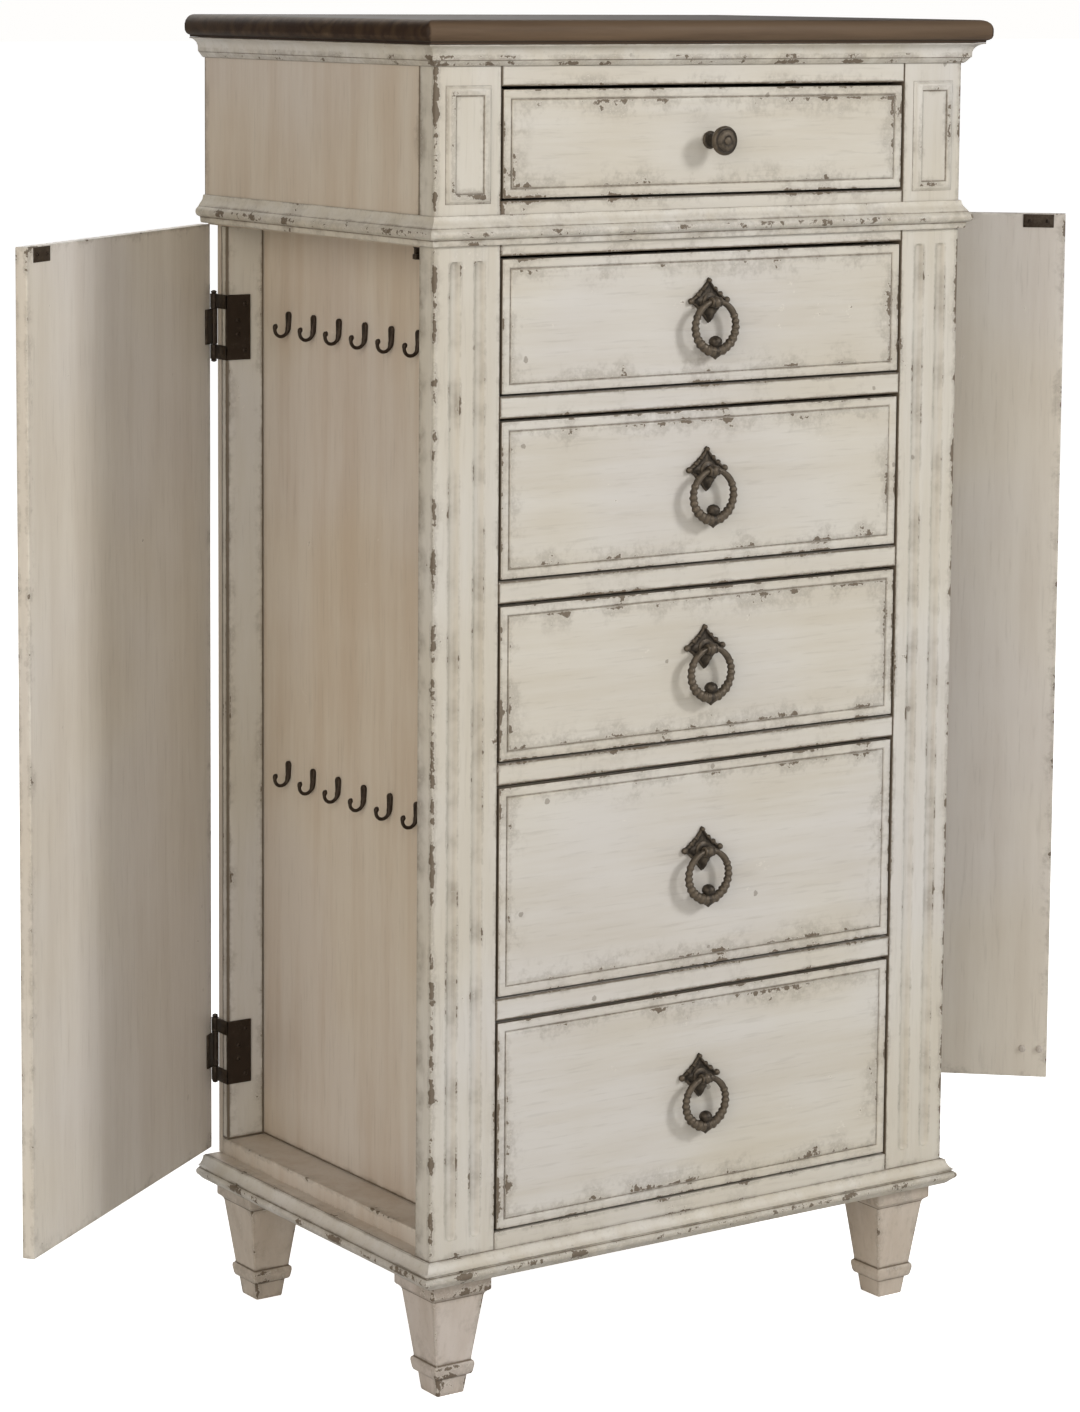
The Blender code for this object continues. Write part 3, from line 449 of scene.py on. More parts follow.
def old_metal(g, given, place):
    """Dark patina that is rubbed bright on raised parts and edges."""
    cloud = g.noise(place, 260, 4, 0.65)
    pits = g.noise(place, 900, 2, 0.6)
    share = g.plus(g.times(g.attribute("worn"), given["Rub"]), g.minus(cloud, 0.5))
    colour = g.mix(g.ramp(share, 0.05, 0.62), given["Patina"], given["Rubbed"])
    return colour, g.ramp(cloud, 0.3, 0.7, 0.38, 0.64), g.plus(g.times(cloud, 0.6), g.times(pits, 0.4))


# Each effect's builder and sockets. A group's own values are only its starting ones.
EFFECTS = {
    "worn_paint": (worn_paint, "Paint", "Second Tone", "Glaze", "Bare Wood", "Grain", "Wear", "Streaks", "Specks"),
    "timber": (timber, "Light Wood", "Dark Wood", "Edge", "Grain", "Gloss"),
    "old_metal": (old_metal, "Patina", "Rubbed", "Rub"),
}
SOCKET_KINDS = {"Grain": (VECTOR, (1, 1, 0.08))}
SOCKET_KINDS.update({label: (NUMBER, 0.6) for label in ("Wear", "Streaks", "Specks", "Gloss", "Rub")})


def new_material(name):
    """An empty material, its graph and its Principled shader."""
    made = bpy.data.materials.new(name)
    made.use_nodes = True
    return made, Graph(made.node_tree), made.node_tree.nodes["Principled BSDF"]


def finish(name, effect, values, metallic=0.0, bump=0.4, depth=0.0004, specular=0.5):
    """A material: one effect's colour, roughness and height on a Principled shader."""
    found = bpy.data.materials.get(name)
    if found:
        return found
    build, *labels = EFFECTS[effect]
    inputs = [(label, *SOCKET_KINDS.get(label, (COLOUR, (0.5, 0.4, 0.3, 1)))) for label in labels]
    made, g, shader = new_material(name)
    surface = g.add("ShaderNodeGroup", node_tree=shared_group(effect, inputs, build))
    for label, value in values.items():
        surface.inputs[label].default_value = value
    g.feed(shader.inputs["Base Color"], surface.outputs["Colour"])
    g.feed(shader.inputs["Roughness"], surface.outputs["Roughness"])
    shader.inputs["Metallic"].default_value = metallic
    shader.inputs["Specular IOR Level"].default_value = specular
    relief = g.add("ShaderNodeBump")
    relief.inputs["Strength"].default_value = bump
    relief.inputs["Distance"].default_value = depth
    g.feed(relief.inputs["Height"], surface.outputs["Height"])
    g.feed(shader.inputs["Normal"], relief.outputs["Normal"])
    return made


ALONG_X, ALONG_Z = (0.07, 1.0, 1.0), (1.0, 1.0, 0.07)

# Each paint's tone, grain, wear, streaks and specks
PAINTS = {
    "front_paint_upright": ("front", ALONG_Z, 0.66, 0.8, 1.0),
    "front_paint_level": ("front", ALONG_X, 0.46, 0.8, 1.0),
    "drawer_paint": ("front", ALONG_X, 0.52, 0.9, 1.0),
    "side_paint_upright": ("side", ALONG_Z, 0.40, 0.9, 0.3),
    "door_paint_upright": ("door", ALONG_Z, 0.36, 0.8, 0.3),
    "foot_paint": ("foot", (1.0, 1.0, 0.3), 0.52, 0.9, 0.6),
    "moulding_paint": ("front", (1.0, 1.0, 1.0), 0.52, 1.0, 0.6),
}


def paint(name):
    look = bpy.context.scene.chest_paint
    tone, grain, wear, streaks, specks = PAINTS[name]
    values = {
        "Paint": (*getattr(look, f"{tone}_paint"), 1),
        "Second Tone": (*getattr(look, f"{tone}_second"), 1),
        "Glaze": (*look.glaze_and_shade, 1),
        "Bare Wood": (*look.bare_wood, 1),
        "Grain": grain,
        "Wear": wear * look.wear,
        "Streaks": streaks,
        "Specks": specks,
    }
    return finish(name, "worn_paint", values, bump=0.45, depth=0.0005)


def wood(name, tones, grain, gloss=0.0, bump=0.3, specular=0.5):
    """Wood in the light, dark and edge tones that the settings give."""
    look = bpy.context.scene.chest_paint
    values = {label: (*getattr(look, tone), 1) for label, tone in zip(("Light Wood", "Dark Wood", "Edge"), tones)}
    values.update({"Grain": grain, "Gloss": gloss})
    return finish(name, "timber", values, bump=bump, depth=0.0003, specular=specular)


def raw_wood(name="raw_wood_level", grain=ALONG_X):
    return wood(name, ("raw_light", "raw_dark", "raw_light"), grain)


def walnut():
    return wood("walnut_top", ("top_light", "top_dark", "top_edge_and_lit_front"), ALONG_X, gloss=0.12, bump=0.25, specular=0.22)


def pull_metal():
    look = bpy.context.scene.chest_metal
    values = {"Patina": (*look.patina, 1), "Rubbed": (*look.rubbed, 1), "Rub": look.rub}
    return finish("rubbed_bronze", "old_metal", values, metallic=0.55, bump=0.7, depth=0.0005)


def hinge_metal():
    look = bpy.context.scene.chest_metal
    values = {"Patina": (*look.hinge, 1), "Rubbed": (*look.rubbed, 1), "Rub": 0.22}
    return finish("dark_bronze", "old_metal", values, metallic=0.6, bump=0.3, depth=0.0002)


def bumper_felt():
    made, g, shader = new_material("bumper_felt")
    cloud = g.noise(g.object_place(), 700, 3, 0.6)
    colour = g.mix(g.ramp(cloud, 0.3, 0.7), (0.42, 0.38, 0.33, 1), (0.56, 0.51, 0.46, 1))
    g.feed(shader.inputs["Base Color"], colour)
    g.feed(shader.inputs["Roughness"], g.ramp(cloud, 0.3, 0.7, 0.5, 0.7))
    return made


# Settings -----------------------------------------------------------------------------------


def colour(name, description, value):
    return bpy.props.FloatVectorProperty(
        name=name, description=description, subtype="COLOR", size=3, min=0.0, max=1.0, default=value
    )


def length(name, description, value):
    return bpy.props.FloatProperty(name=name, description=description, unit="LENGTH", min=0.0, default=value)


def number(name, description, value, most=1000.0):
    return bpy.props.FloatProperty(name=name, description=description, min=0.0, max=most, default=value)


class ChestPaint(bpy.types.PropertyGroup):
    """Colours of the paint and the wood, and how worn the paint is."""

    front_paint: colour("Front paint", "Main tone of the front", (0.565, 0.548, 0.512))
    front_second: colour("Front second tone", "Brushed second tone of the front", (0.50, 0.468, 0.408))
    side_paint: colour("Side paint", "Main tone of the sides", (0.555, 0.505, 0.44))
    side_second: colour("Side second tone", "Brushed second tone of the sides", (0.48, 0.405, 0.33))
    door_paint: colour("Door paint", "Main tone of the doors", (0.655, 0.622, 0.57))
    door_second: colour("Door second tone", "Brushed second tone of the doors", (0.575, 0.53, 0.472))
    foot_paint: colour("Foot paint", "Main tone of the feet", (0.525, 0.475, 0.43))
    foot_second: colour("Foot second tone", "Brushed second tone of the feet", (0.435, 0.375, 0.32))
    # Also the colour of the painted shade in crevices and gaps
    glaze_and_shade: colour("Glaze", "Dark glaze in crevices", (0.105, 0.078, 0.050))
    bare_wood: colour("Bare wood", "Wood where the paint is gone", (0.115, 0.085, 0.056))
    raw_light: colour("Raw wood, light", "Light tone of unpainted boards", (0.55, 0.41, 0.26))
    raw_dark: colour("Raw wood, dark", "Dark tone of unpainted boards", (0.40, 0.27, 0.155))
    top_light: colour("Top, light", "Light tone of the top", (0.044, 0.025, 0.012))
    top_dark: colour("Top, dark", "Dark tone of the top", (0.024, 0.012, 0.006))
    # Also paints the slab's front face lighter, as painted light
    top_edge_and_lit_front: colour("Top, edge", "Rubbed edges of the top", (0.132, 0.088, 0.054))
    wear: number("Wear", "How much paint is rubbed off the edges", 1.0, 1.5)


class ChestMetal(bpy.types.PropertyGroup):
    """Colours of the hardware."""

    patina: colour("Patina", "Dark tone of the pulls and the knob", (0.030, 0.023, 0.016))
    rubbed: colour("Rubbed metal", "Bright tone of raised parts", (0.118, 0.094, 0.068))
    hinge: colour("Hinge metal", "Dark tone of hinges, hooks and catches", (0.030, 0.019, 0.012))
    rub: number("Rub", "How bright the raised parts are", 0.55, 1.0)


class ChestDetail(bpy.types.PropertyGroup):
    """Small sizes of the pieces."""

    board_edge: length("Board edge", "Radius of a board's softened edges", 0.0010)
    border: length("Drawer border", "Flat border of a drawer front", 0.0074)
    groove: length("Drawer groove", "Depth of the groove inside the border", 0.0013)
    flute_width: length("Flute width", "Width of a post's flutes", 0.0086)
    flute_depth: length("Flute depth", "Depth of a post's flutes", 0.0032)
    flute_spacing: length("Flute spacing", "Distance between a post's two flutes", 0.0235)


class ChestStage(bpy.types.PropertyGroup):
    """Camera and light."""

    lens: number("Lens", "Focal length in millimetres", 102.781)
    floor: colour("Floor", "Colour of the floor", (0.78, 0.78, 0.77))
    surroundings: number("Surroundings", "Strength of the light from all round", 0.22)
    key_power: number("Key light", "Power of the main light in watts", 98.0)
    fill_power: number("Fill light", "Power of the fill light in watts", 168.0)


SETTINGS = (
    ("chest_paint", ChestPaint),
    ("chest_metal", ChestMetal),
    ("chest_detail", ChestDetail),
    ("chest_stage", ChestStage),
)


# Pieces -------------------------------------------------------------------------------------


class ChestOperator:
    bl_options = {"REGISTER", "UNDO"}

    def execute(self, context):
        self.make(context)
        return {"FINISHED"}


class CHEST_OT_top(ChestOperator, bpy.types.Operator):
    """Make the dark top slab with its rounded edge"""

    bl_idname = "chest.top"
    bl_label = "Top"

    def make(self, context):
        low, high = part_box("top_slab")
        # The underside rows carry crevice values: painted shade under the slab's overhang
        edge = steps(0, low.z, (10, 0, 0, 0.4), (5.2, 0, 0, 0.6), (5, 1.6, 0, 0.9), (3.2, 2.2, 0.3, 0.7))
        edge += steps(0, low.z, (1.2, 3.6, 0.6, 0), (0.2, 5.6, 0.7, 0), (0, 8, 0.25, 0))
        edge += steps(0, high.z, (0, -7.8, 0.25, 0), (0.8, -5.2, 0.5, 0), (2.4, -3, 0.8, 0), (4.6, -1.2, 1, 0))
        edge += steps(0, high.z, (7, -0.3, 0.8, 0), (9.2, 0, 0.4, 0), (15, 0, 0.1, 0), (26, 0, 0, 0))
        rings = []
        for back, z, worn, crevice in edge:
            x0, x1, y0, y1 = low.x + back, high.x - back, low.y + back, high.y - min(back, 0.002)
            corner = max(0.0015, 0.004 - back)
            # Painted light: the whole front face takes the paler edge colour, lighter than the sides
            lit_front = 0.85 if z < high.z - 0.001 else 0.0
            ring = []
            for x, y, dx, dy in ((x0, y0, 1, 1), (x1, y0, -1, 1), (x1, y1, -1, -1), (x0, y1, 1, -1)):
                middle = (x + dx * corner * 0.29, y + dy * corner * 0.29)
                trio = [((x, y + dy * corner), 0), (middle, 0), ((x + dx * corner, y), dy > 0)]
                for (px, py), front in trio if dx * dy > 0 else reversed(trio):
                    ring.append(((px, py, z), max(worn * 0.7, front * lit_front), crevice))
            rings.append(ring)
        bm = new_shape()
        add_tower(bm, rings)
        put_piece("walnut_slab", bm, "cabinet", ["top_slab"], [walnut()], smooth=50)


class CHEST_OT_mouldings(ChestOperator, bpy.types.Operator):
    """Make the crown, waist and base mouldings, mitred round the front and sides"""

    bl_idname = "chest.mouldings"
    bl_label = "Mouldings"

    def span(self, node):
        """A moulding's bottom, top and projection."""
        low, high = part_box(node)
        return low.z, high.z, (high.x - low.x) / 2 - HALF_WIDTH

    def sweep(self, name, node, profile):
        """Run a closed profile of (projection, height, worn, crevice) round the body."""
        profile = [(out, z, worn, crevice * 0.8) for out, z, worn, crevice in profile]
        stops = ((BACK_Y, 0.54), (BACK_Y - 0.004, 0), (FRONT_Y + 0.02, 0), (FRONT_Y + 0.004, 0.15))
        rings = []
        for side in (-1, 1):
            edge = CENTRE_X + side * HALF_WIDTH
            half = [[((edge + side * out, y, z), max(w, more), c) for out, z, w, c in profile] for y, more in stops]
            half.append([((edge + side * out, FRONT_Y - out, z), min(1, w + 0.4), c) for out, z, w, c in profile])
            half.append([((edge - side * 0.02, FRONT_Y - out, z), w, c) for out, z, w, c in profile])
            rings += half if side < 0 else half[::-1]
        bm = new_shape()
        add_tower(bm, rings)
        put_piece(name, bm, "cabinet", [node], [paint("moulding_paint")], smooth=42)

    def make(self, context):
        z0, z1, reach = self.span("crown_moulding")
        hollow = 0.0083
        profile = steps(0, z0, (0.3, 0, 0, 1), (1, 0, 0.2, 0.9), (2.2, 0.8, 0.8, 0), (3.6, 2.4, 0.9, 0))
        profile += steps(0, z0, (4.8, 4, 0.6, 0.2), (5.2, 4.6, 0.1, 1))
        profile += steps(reach, z0, (-8.3, 5.2, 0.5, 0.6))
        for i, a in enumerate(arc(180, 90, 8)):
            step = (reach + hollow * math.cos(a), z1 - 0.0092 + hollow * math.sin(a))
            profile.append((*step, 0.0, 0.12) if i else (*step, 0.7, 0.0))
        profile += steps(reach, z1, (0, -0.6, 0.5, 0.6), (-0.4, 0, 0.1, 1)) + steps(0, z1, (0.3, 0, 0, 1))
        self.sweep("crown_strip", "crown_moulding", profile)

        z0, z1, reach = self.span("waist_moulding")
        profile = steps(0, z0, (0.3, 0, 0, 1), (2.2, 0, 0.1, 0.7), (3.6, 0.4, 0.7, 0.1), (4.2, 1.6, 0.6, 0))
        profile += steps(0, z0, (4.3, 4, 0.3, 0.5), (4.6, 5.2, 0.1, 1))
        for i, a in enumerate(arc(-78, 62, 8)):
            worn = 0.95 if 2 <= i <= 6 else 0.5
            profile.append((reach - 0.0036 + 0.0036 * math.cos(a), z0 + 0.0098 + 0.0040 * math.sin(a), worn, 0.0))
        profile += steps(reach, z0, (-2.6, 14.2, 0.2, 0.9), (-3.4, 15, 0.5, 0.5))
        for i, a in enumerate(arc(0, 90, 6)):
            profile.append((0.0052 - 0.0036 * math.sin(a), z0 + 0.0160 + 0.0011 * i, 0.15, 0.1))
        profile += steps(0, z1, (1.4, -0.6, 0.5, 0.2), (0.9, 0, 0.3, 0.8), (0.3, 0, 0, 1))
        self.sweep("waist_strip", "waist_moulding", profile)

        z0, z1, reach = self.span("base_moulding")
        profile = steps(0, z0, (0.3, 0, 0, 1), (3, 0, 0.4, 0.4), (4.6, 1.2, 0.6, 0))
        profile += steps(reach, z0, (-3, 4, 0.5, 0), (-1, 5.6, 0.9, 0), (0, 7.2, 1, 0), (0, 9.2, 1, 0))
        profile += steps(reach, z0, (-1, 10.6, 0.8, 0.2), (-2.4, 11.2, 0.2, 1), (-3.6, 12, 0.6, 0.3))
        for i, a in enumerate(arc(260, 200, 6)):
            worn = 0.0 if 0 < i < 6 else 0.4
            profile.append((reach - 0.0005 + 0.00741 * math.cos(a), z0 + 0.0258 + 0.0128 * math.sin(a), worn, 0.1))
        profile += steps(0, z1, (2, -0.8, 0.6, 0.2), (1.2, 0, 0.3, 0.8), (0.3, 0, 0, 1))
        self.sweep("base_strip", "base_moulding", profile)


class CHEST_OT_posts(ChestOperator, bpy.types.Operator):
    """Make the two front posts with their flutes and raised panels"""

    bl_idname = "chest.posts"
    bl_label = "Front posts"

    def section(self, low, high, z, flute, detail, more):
        """One level of a post: its outline with both flutes at a share of their full size."""
        depth = high.y - low.y
        radius = 0.0014
        points = [(high.x, depth, 0.2, 0.6)] + steps(high.x, 0, (0, 6, 0.1, 0), (0, 3, 0.7, 0))
        for a in arc(0, 90, 3):
            points.append((high.x - radius + radius * math.cos(a), radius - radius * math.sin(a), 1.0, 0.0))
        points += steps(high.x, 0, (-2.8, 0, 0.7, 0), (-5.4, 0, 0.15, 0))
        half = detail.flute_width / 2
        edge = half + 0.0007
        lip = 0.05 + 0.6 * flute
        for shift in (detail.flute_spacing / 2, -detail.flute_spacing / 2):
            centre = (low.x + high.x) / 2 + shift
            points += steps(centre + edge, 0, (2.2, 0, 0.05, 0), (0, 0, lip, 0.1))
            for i in range(9):
                share = 1 - i / 4
                sink = detail.flute_depth * math.sqrt(max(0.0, 1 - share * share * 0.96)) * flute
                # Glaze with painted shade in the hollow of each flute
                crevice = (0.34 if 0.4 < abs(share) < 0.85 else 0.2) * flute
                points.append((centre + half * share * (0.25 + 0.75 * flute), sink, 0.1, crevice))
            points += steps(centre - edge, 0, (0, 0, lip, 0.1), (-2.2, 0, 0.05, 0))
        # The inner face takes the full crevice value: painted shade of the gap beside the drawers
        points += steps(low.x, 0, (4.2, 0, 0.1, 0), (1.8, 0, 0.35, 0.1), (0.4, 0.2, 0.6, 0.7), (0, 1, 0.2, 1))
        points.append((low.x, depth, 0.0, 1.0))
        return [((x, low.y + y, z), min(1.0, w + more), c) for x, y, w, c in points]

    def add_panel(self, bm, low, high):
        """The raised frame on the upper part, with its field a little lower."""
        border = 0.0098
        z0, z1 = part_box("waist_rail")[1].z - 0.0016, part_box("top_rail")[0].z + 0.0008
        frame_steps = steps(0, low.y, (0, 1, 0, 0.8), (0, -0.3, 0.1, 0.7), (0.8, -0.7, 0.5, 0.3),
                            (1.6, -1.6, 0.1, 0.3))
        frame_steps += steps(0, low.y, (2.8, -2.8, 0.1, 0.15), (4.2, -3.4, 0.7, 0), (6.6, -3.6, 0.7, 0))
        frame_steps += steps(0, low.y, (7.4, -3.4, 0.6, 0.2), (8, -2.3, 0.1, 0.78), (8.8, -2.1, 0.1, 0.6))
        frame_steps += steps(0, low.y, (10.4, -2.1, 0.3, 0), (14, -2.1, 0, 0))
        rings = []
        for back, y, worn, crevice in frame_steps:
            x0, x1, a, b = low.x + border + back, high.x - border - back, z0 + back, z1 - back
            rings.append([((x, y, z), worn, crevice) for x, z in ((x0, a), (x1, a), (x1, b), (x0, b))])
        add_tower(bm, rings)

    def make(self, context):
        detail = context.scene.chest_detail
        for side, sign in SIDES:
            low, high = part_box(f"front_post_{side}")
            low.y = FRONT_Y
            if sign < 0:
                low.x, high.x = 2 * CENTRE_X - high.x, 2 * CENTRE_X - low.x
            start, end = low.z + 0.0140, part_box("waist_moulding")[0].z - 0.012
            reach = detail.flute_width / 2
            levels = [(low.z, 0.0, 0.4), (low.z + 0.006, 0.0, 0.0)]
            levels += [(start + reach * (1 - math.cos(a)), math.sin(a), 0.0) for a in arc(0, 90, 5)]
            levels += [(end - reach * (1 - math.sin(a)), math.cos(a), 0.0) for a in arc(0, 90, 5)]
            levels += [(end + 0.001, 0.0, 0.0), (high.z - 0.004, 0.0, 0.0), (high.z, 0.0, 0.4)]
            bm = new_shape()
            add_tower(bm, [self.section(low, high, z, flute, detail, more) for z, flute, more in levels])
            self.add_panel(bm, low, high)
            to_side(bm, sign)
            finishes = [paint("front_paint_upright")]
            put_piece(f"post_{side}", bm, "cabinet", [f"front_post_{side}"], finishes, smooth=40)


class CHEST_OT_rails(ChestOperator, bpy.types.Operator):
    """Make the rails between the drawers and the boards behind them"""

    bl_idname = "chest.rails"
    bl_label = "Rails"

    def make(self, context):
        edge = context.scene.chest_detail.board_edge
        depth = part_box("top_rail")[1].y
        for name in ("top_rail", "waist_rail", *(f"rail_above_drawer_{number}" for number in (3, 4, 5, 6))):
            low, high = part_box(name)
            bm = new_shape()
            add_board(bm, low, (high.x, depth, high.z), edge * 0.8)
            ends = [v for v in bm.verts if min(v.co.x - low.x, high.x - v.co.x) < 0.0012]
            mark(bm, ends, crevice=0.85)
            finishes = [paint("front_paint_level")]
            if high.y > depth + 0.001:
                painted = set(bm.faces)
                back, front = (high.x, high.y, high.z - 0.0002), (low.x, depth - 0.0004, low.z + 0.0002)
                add_board(bm, front, back, edge * 0.6, lines=())
                split_materials(bm, painted)
                finishes.append(raw_wood())
            put_piece(f"{name}_board", bm, "cabinet", [name], finishes)


class CHEST_OT_case(ChestOperator, bpy.types.Operator):
    """Make the sides, the compartments, the floor, and finish the hidden boards"""

    bl_idname = "chest.case"
    bl_label = "Case"

    def make(self, context):
        edge = context.scene.chest_detail.board_edge
        self.make_floor(edge)
        self.make_waist_board()
        fine = ((0.0016, 0.0), (0.0050, 0.0), (0.0160, 0.0))
        for side, _ in SIDES:
            for node, name, top, soft, lines, shade, finish_name in (
                ("upper_side", "upper_side_{}_board", None, 1.0, WEAR_LINES, self.shade_side, "side_paint_upright"),
                ("back_stile", "back_stile_{}_board", CEILING, 1.2, WEAR_LINES, self.shade_ends,
                 "front_paint_upright"),
                ("recess_panel", "recess_{}_board", CEILING, 0.5, fine, self.shade_recess, "side_paint_upright"),
            ):
                low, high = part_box(f"{node}_{side}")
                if top:
                    high.z = top - SLACK
                bm = new_shape()
                add_board(bm, low, high, edge * soft, lines)
                shade(bm, low, high)
                put_piece(name.format(side), bm, "cabinet", [f"{node}_{side}"], [paint(finish_name)])
        paint_node("back_panel", paint("side_paint_upright"))

    def make_floor(self, edge):
        """The board under the posts, stepped up in the compartments and along the front."""
        low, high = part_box("base_board")
        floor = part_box("recess_panel_left")[0].z - SLACK
        step = high.z - 0.014
        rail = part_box("top_rail")
        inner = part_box("back_stile_right")[1].x
        behind = rail[1].y + SLACK
        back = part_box("back_panel")[0].y - SLACK
        bm = new_shape()
        add_board(bm, low, (high.x, high.y, step), edge)
        add_board(bm, (2 * CENTRE_X - inner, behind, step - 0.002), (inner, back, floor), edge)
        sides = set(bm.faces)
        add_board(bm, (rail[0].x, low.y, step - 0.002), (rail[1].x, behind + 0.001, floor), edge * 0.8)
        split_materials(bm, sides)
        front = [v for v in bm.verts if v.co.z > floor - 0.0002 and v.co.y < FRONT_Y + 0.026]
        mark(bm, front, crevice=0.3)
        finishes = [paint("side_paint_upright"), paint("front_paint_level")]
        put_piece("base_frame", bm, "cabinet", ["base_board"], finishes)

    def make_waist_board(self):
        """The compartments' ceiling, stepped up to the waist moulding, with the top drawer's runners."""
        low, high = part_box("waist_board")
        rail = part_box("waist_rail")
        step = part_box("upper_side_right")[0].z - SLACK
        opening = rail[1].x - CENTRE_X + SLACK
        runner = opening - 0.019
        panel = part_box("recess_panel_right")[1].x - CENTRE_X - 0.0008
        outer = BODY_HIGH.x - CENTRE_X
        half = [(panel, rail[0].z), (panel, CEILING), (outer, CEILING), (outer, step), (opening, step)]
        half += [(opening, rail[1].z - 0.0005), (runner, rail[1].z - 0.0005), (runner, rail[0].z + 0.012)]
        outline = half + [(-x, z) for x, z in reversed(half)]
        bm = new_shape()
        places = (low.y, low.y + 0.003, high.y - 0.003, high.y)
        add_tower(bm, [[((CENTRE_X + x, y, z), 0.2, 0.0) for x, z in outline] for y in places])
        put_piece("waist_frame", bm, "cabinet", ["waist_board"], [paint("side_paint_upright")])

    def shade_ends(self, bm, low, high):
        """Glaze and painted shade along the ends of an upright board, where it meets mouldings or rails."""
        worn_layer, crevice_layer = layers(bm)
        for vert in bm.verts:
            gap = min(vert.co.z - low.z, high.z - vert.co.z)
            if gap < 0.0018:
                vert[worn_layer], vert[crevice_layer] = 0.0, 0.9
            elif gap < 0.0035:
                vert[crevice_layer] = 0.35

    def shade_side(self, bm, low, high):
        """Glaze and painted shade along the ends and the front edge, which meets the post."""
        self.shade_ends(bm, low, high)
        mark(bm, [v for v in bm.verts if v.co.y - low.y < 0.0018], worn=0.1, crevice=0.85)

    def shade_recess(self, bm, low, high):
        """Glaze and painted shade in the corners all round the sunk panel."""
        worn_layer, crevice_layer = layers(bm)
        for vert in bm.verts:
            gap = min(vert.co.z - low.z, high.z - vert.co.z, vert.co.y - low.y, high.y - vert.co.y)
            vert[worn_layer] = 0.0
            vert[crevice_layer] = 0.9 if gap < 0.0012 else 0.5 if gap < 0.0022 else 0.14 if gap < 0.006 else 0.0


class CHEST_OT_feet(ChestOperator, bpy.types.Operator):
    """Make the four tapered feet with their collars"""

    bl_idname = "chest.feet"
    bl_label = "Feet"

    def make(self, context):
        # Width, height, worn and crevice from the sole up: toe, collar, taper, and the block on top
        shape = steps(0, 0, (25, 0, 0.5, 0), (25.8, 0.8, 0.6, 0), (26.4, 3, 0.15, 0), (29.3, 14, 0.1, 0))
        shape += steps(0, 0, (29.6, 15, 0.1, 0.9), (32.2, 15.6, 0.4, 0.7), (35.2, 16.4, 0.9, 0), (36.8, 18.2, 0.6, 0))
        shape += steps(0, 0, (38.2, 22.2, 0.5, 0), (38.8, 24, 0.9, 0), (38.4, 26.2, 1, 0), (37.2, 27, 0.7, 0.3))
        shape += steps(0, 0, (35.2, 27.6, 0.1, 1), (34.7, 28.6, 0.3, 0.6), (35.2, 31, 0.2, 0), (42.8, 60, 0.1, 0))
        shape += steps(0, 0, (48.4, 81.2, 0.1, 0), (49.2, 83.6, 0.4, 0.1), (50, 84.6, 0.2, 0.9),
                       (51.4, 85.6, 0.6, 0.3))
        shape += steps(0, 0, (53.2, 86.6, 0.8, 0), (55.2, 87.2, 0.4, 0.5), (56.8, 87.8, 0.7, 0.2), (58, 88.8, 1, 0))
        shape += steps(0, 0, (58, 98, 0.3, 0), (58, 101, 0.2, 0.9))
        for name in [f"foot_{row}_{side}" for row in ("front", "back") for side, _ in SIDES]:
            low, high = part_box(name)
            x0, y0 = (low.x + high.x) / 2, (low.y + high.y) / 2
            scale = (high.z - low.z) / shape[-1][1]
            rings = []
            for width, height, worn, crevice in shape:
                z = low.z + height * scale
                corners = soft_square(width / 2, 0.0012)
                rings.append([((x0 + x, y0 + y, z), max(w, worn * 0.85), crevice) for x, y, w in corners])
            bm = new_shape()
            add_tower(bm, rings)
            put_piece(f"tapered_{name}", bm, "cabinet", [name], [paint("foot_paint")], smooth=44)


class CHEST_OT_doors(ChestOperator, bpy.types.Operator):
    """Make both side doors, with their strike plates and bumpers"""

    bl_idname = "chest.doors"
    bl_label = "Side doors"

    def make(self, context):
        edge = context.scene.chest_detail.board_edge * 0.8
        for side, sign in SIDES:
            joint = JOINTS[f"door_{side}_swing"]
            pin, angle = Vector(joint["pos_m"]), -sign * math.radians(joint["range_deg"][0])
            low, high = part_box(f"side_door_{side}")
            outer = BODY_HIGH.x if sign > 0 else BODY_LOW.x
            inside = outer - sign * DOOR_THICKNESS
            front = FRONT_Y + POST_DEPTH + 0.0015
            near, far = sorted((outer, inside))
            body = f"door_{side}"
            bm = new_shape()
            add_board(bm, (near, front, low.z), (far, BACK_Y - 0.0005, high.z), edge)
            spin_about(bm, pin, angle)
            put_piece(f"{body}_board", bm, body, [f"side_door_{side}"], [paint("door_paint_upright")])

            bm = new_shape()
            y0, z1 = front + 0.0105, high.z - 0.0008
            proud = inside - sign * 0.0007
            near, far = sorted((proud, inside + sign * SLACK))
            add_board(bm, (near, y0, z1 - 0.0120), (far, y0 + 0.0280, z1), 0.0003, lines=())
            for shift in (0.006, 0.022):
                add_screw(bm, (proud, y0 + shift, z1 - 0.006), (-sign, 0, 0), 0.0017)
            spin_about(bm, pin, angle)
            put_piece(f"strike_plate_{side}", bm, body, [], [hinge_metal()])

            if side == "right":
                bm = new_shape()
                bump = steps(0, 0, (3.4, -0.1, 0), (3.4, -1, 0), (2.7, -1.7, 0), (1, -2, 0))
                for reach in (0.3205, 0.3365):
                    add_turned(bm, bump, (inside, pin.y - reach, 0.1545), AXIS_X, 20)
                spin_about(bm, pin, angle)
                put_piece("door_bumpers", bm, body, [], [bumper_felt()])


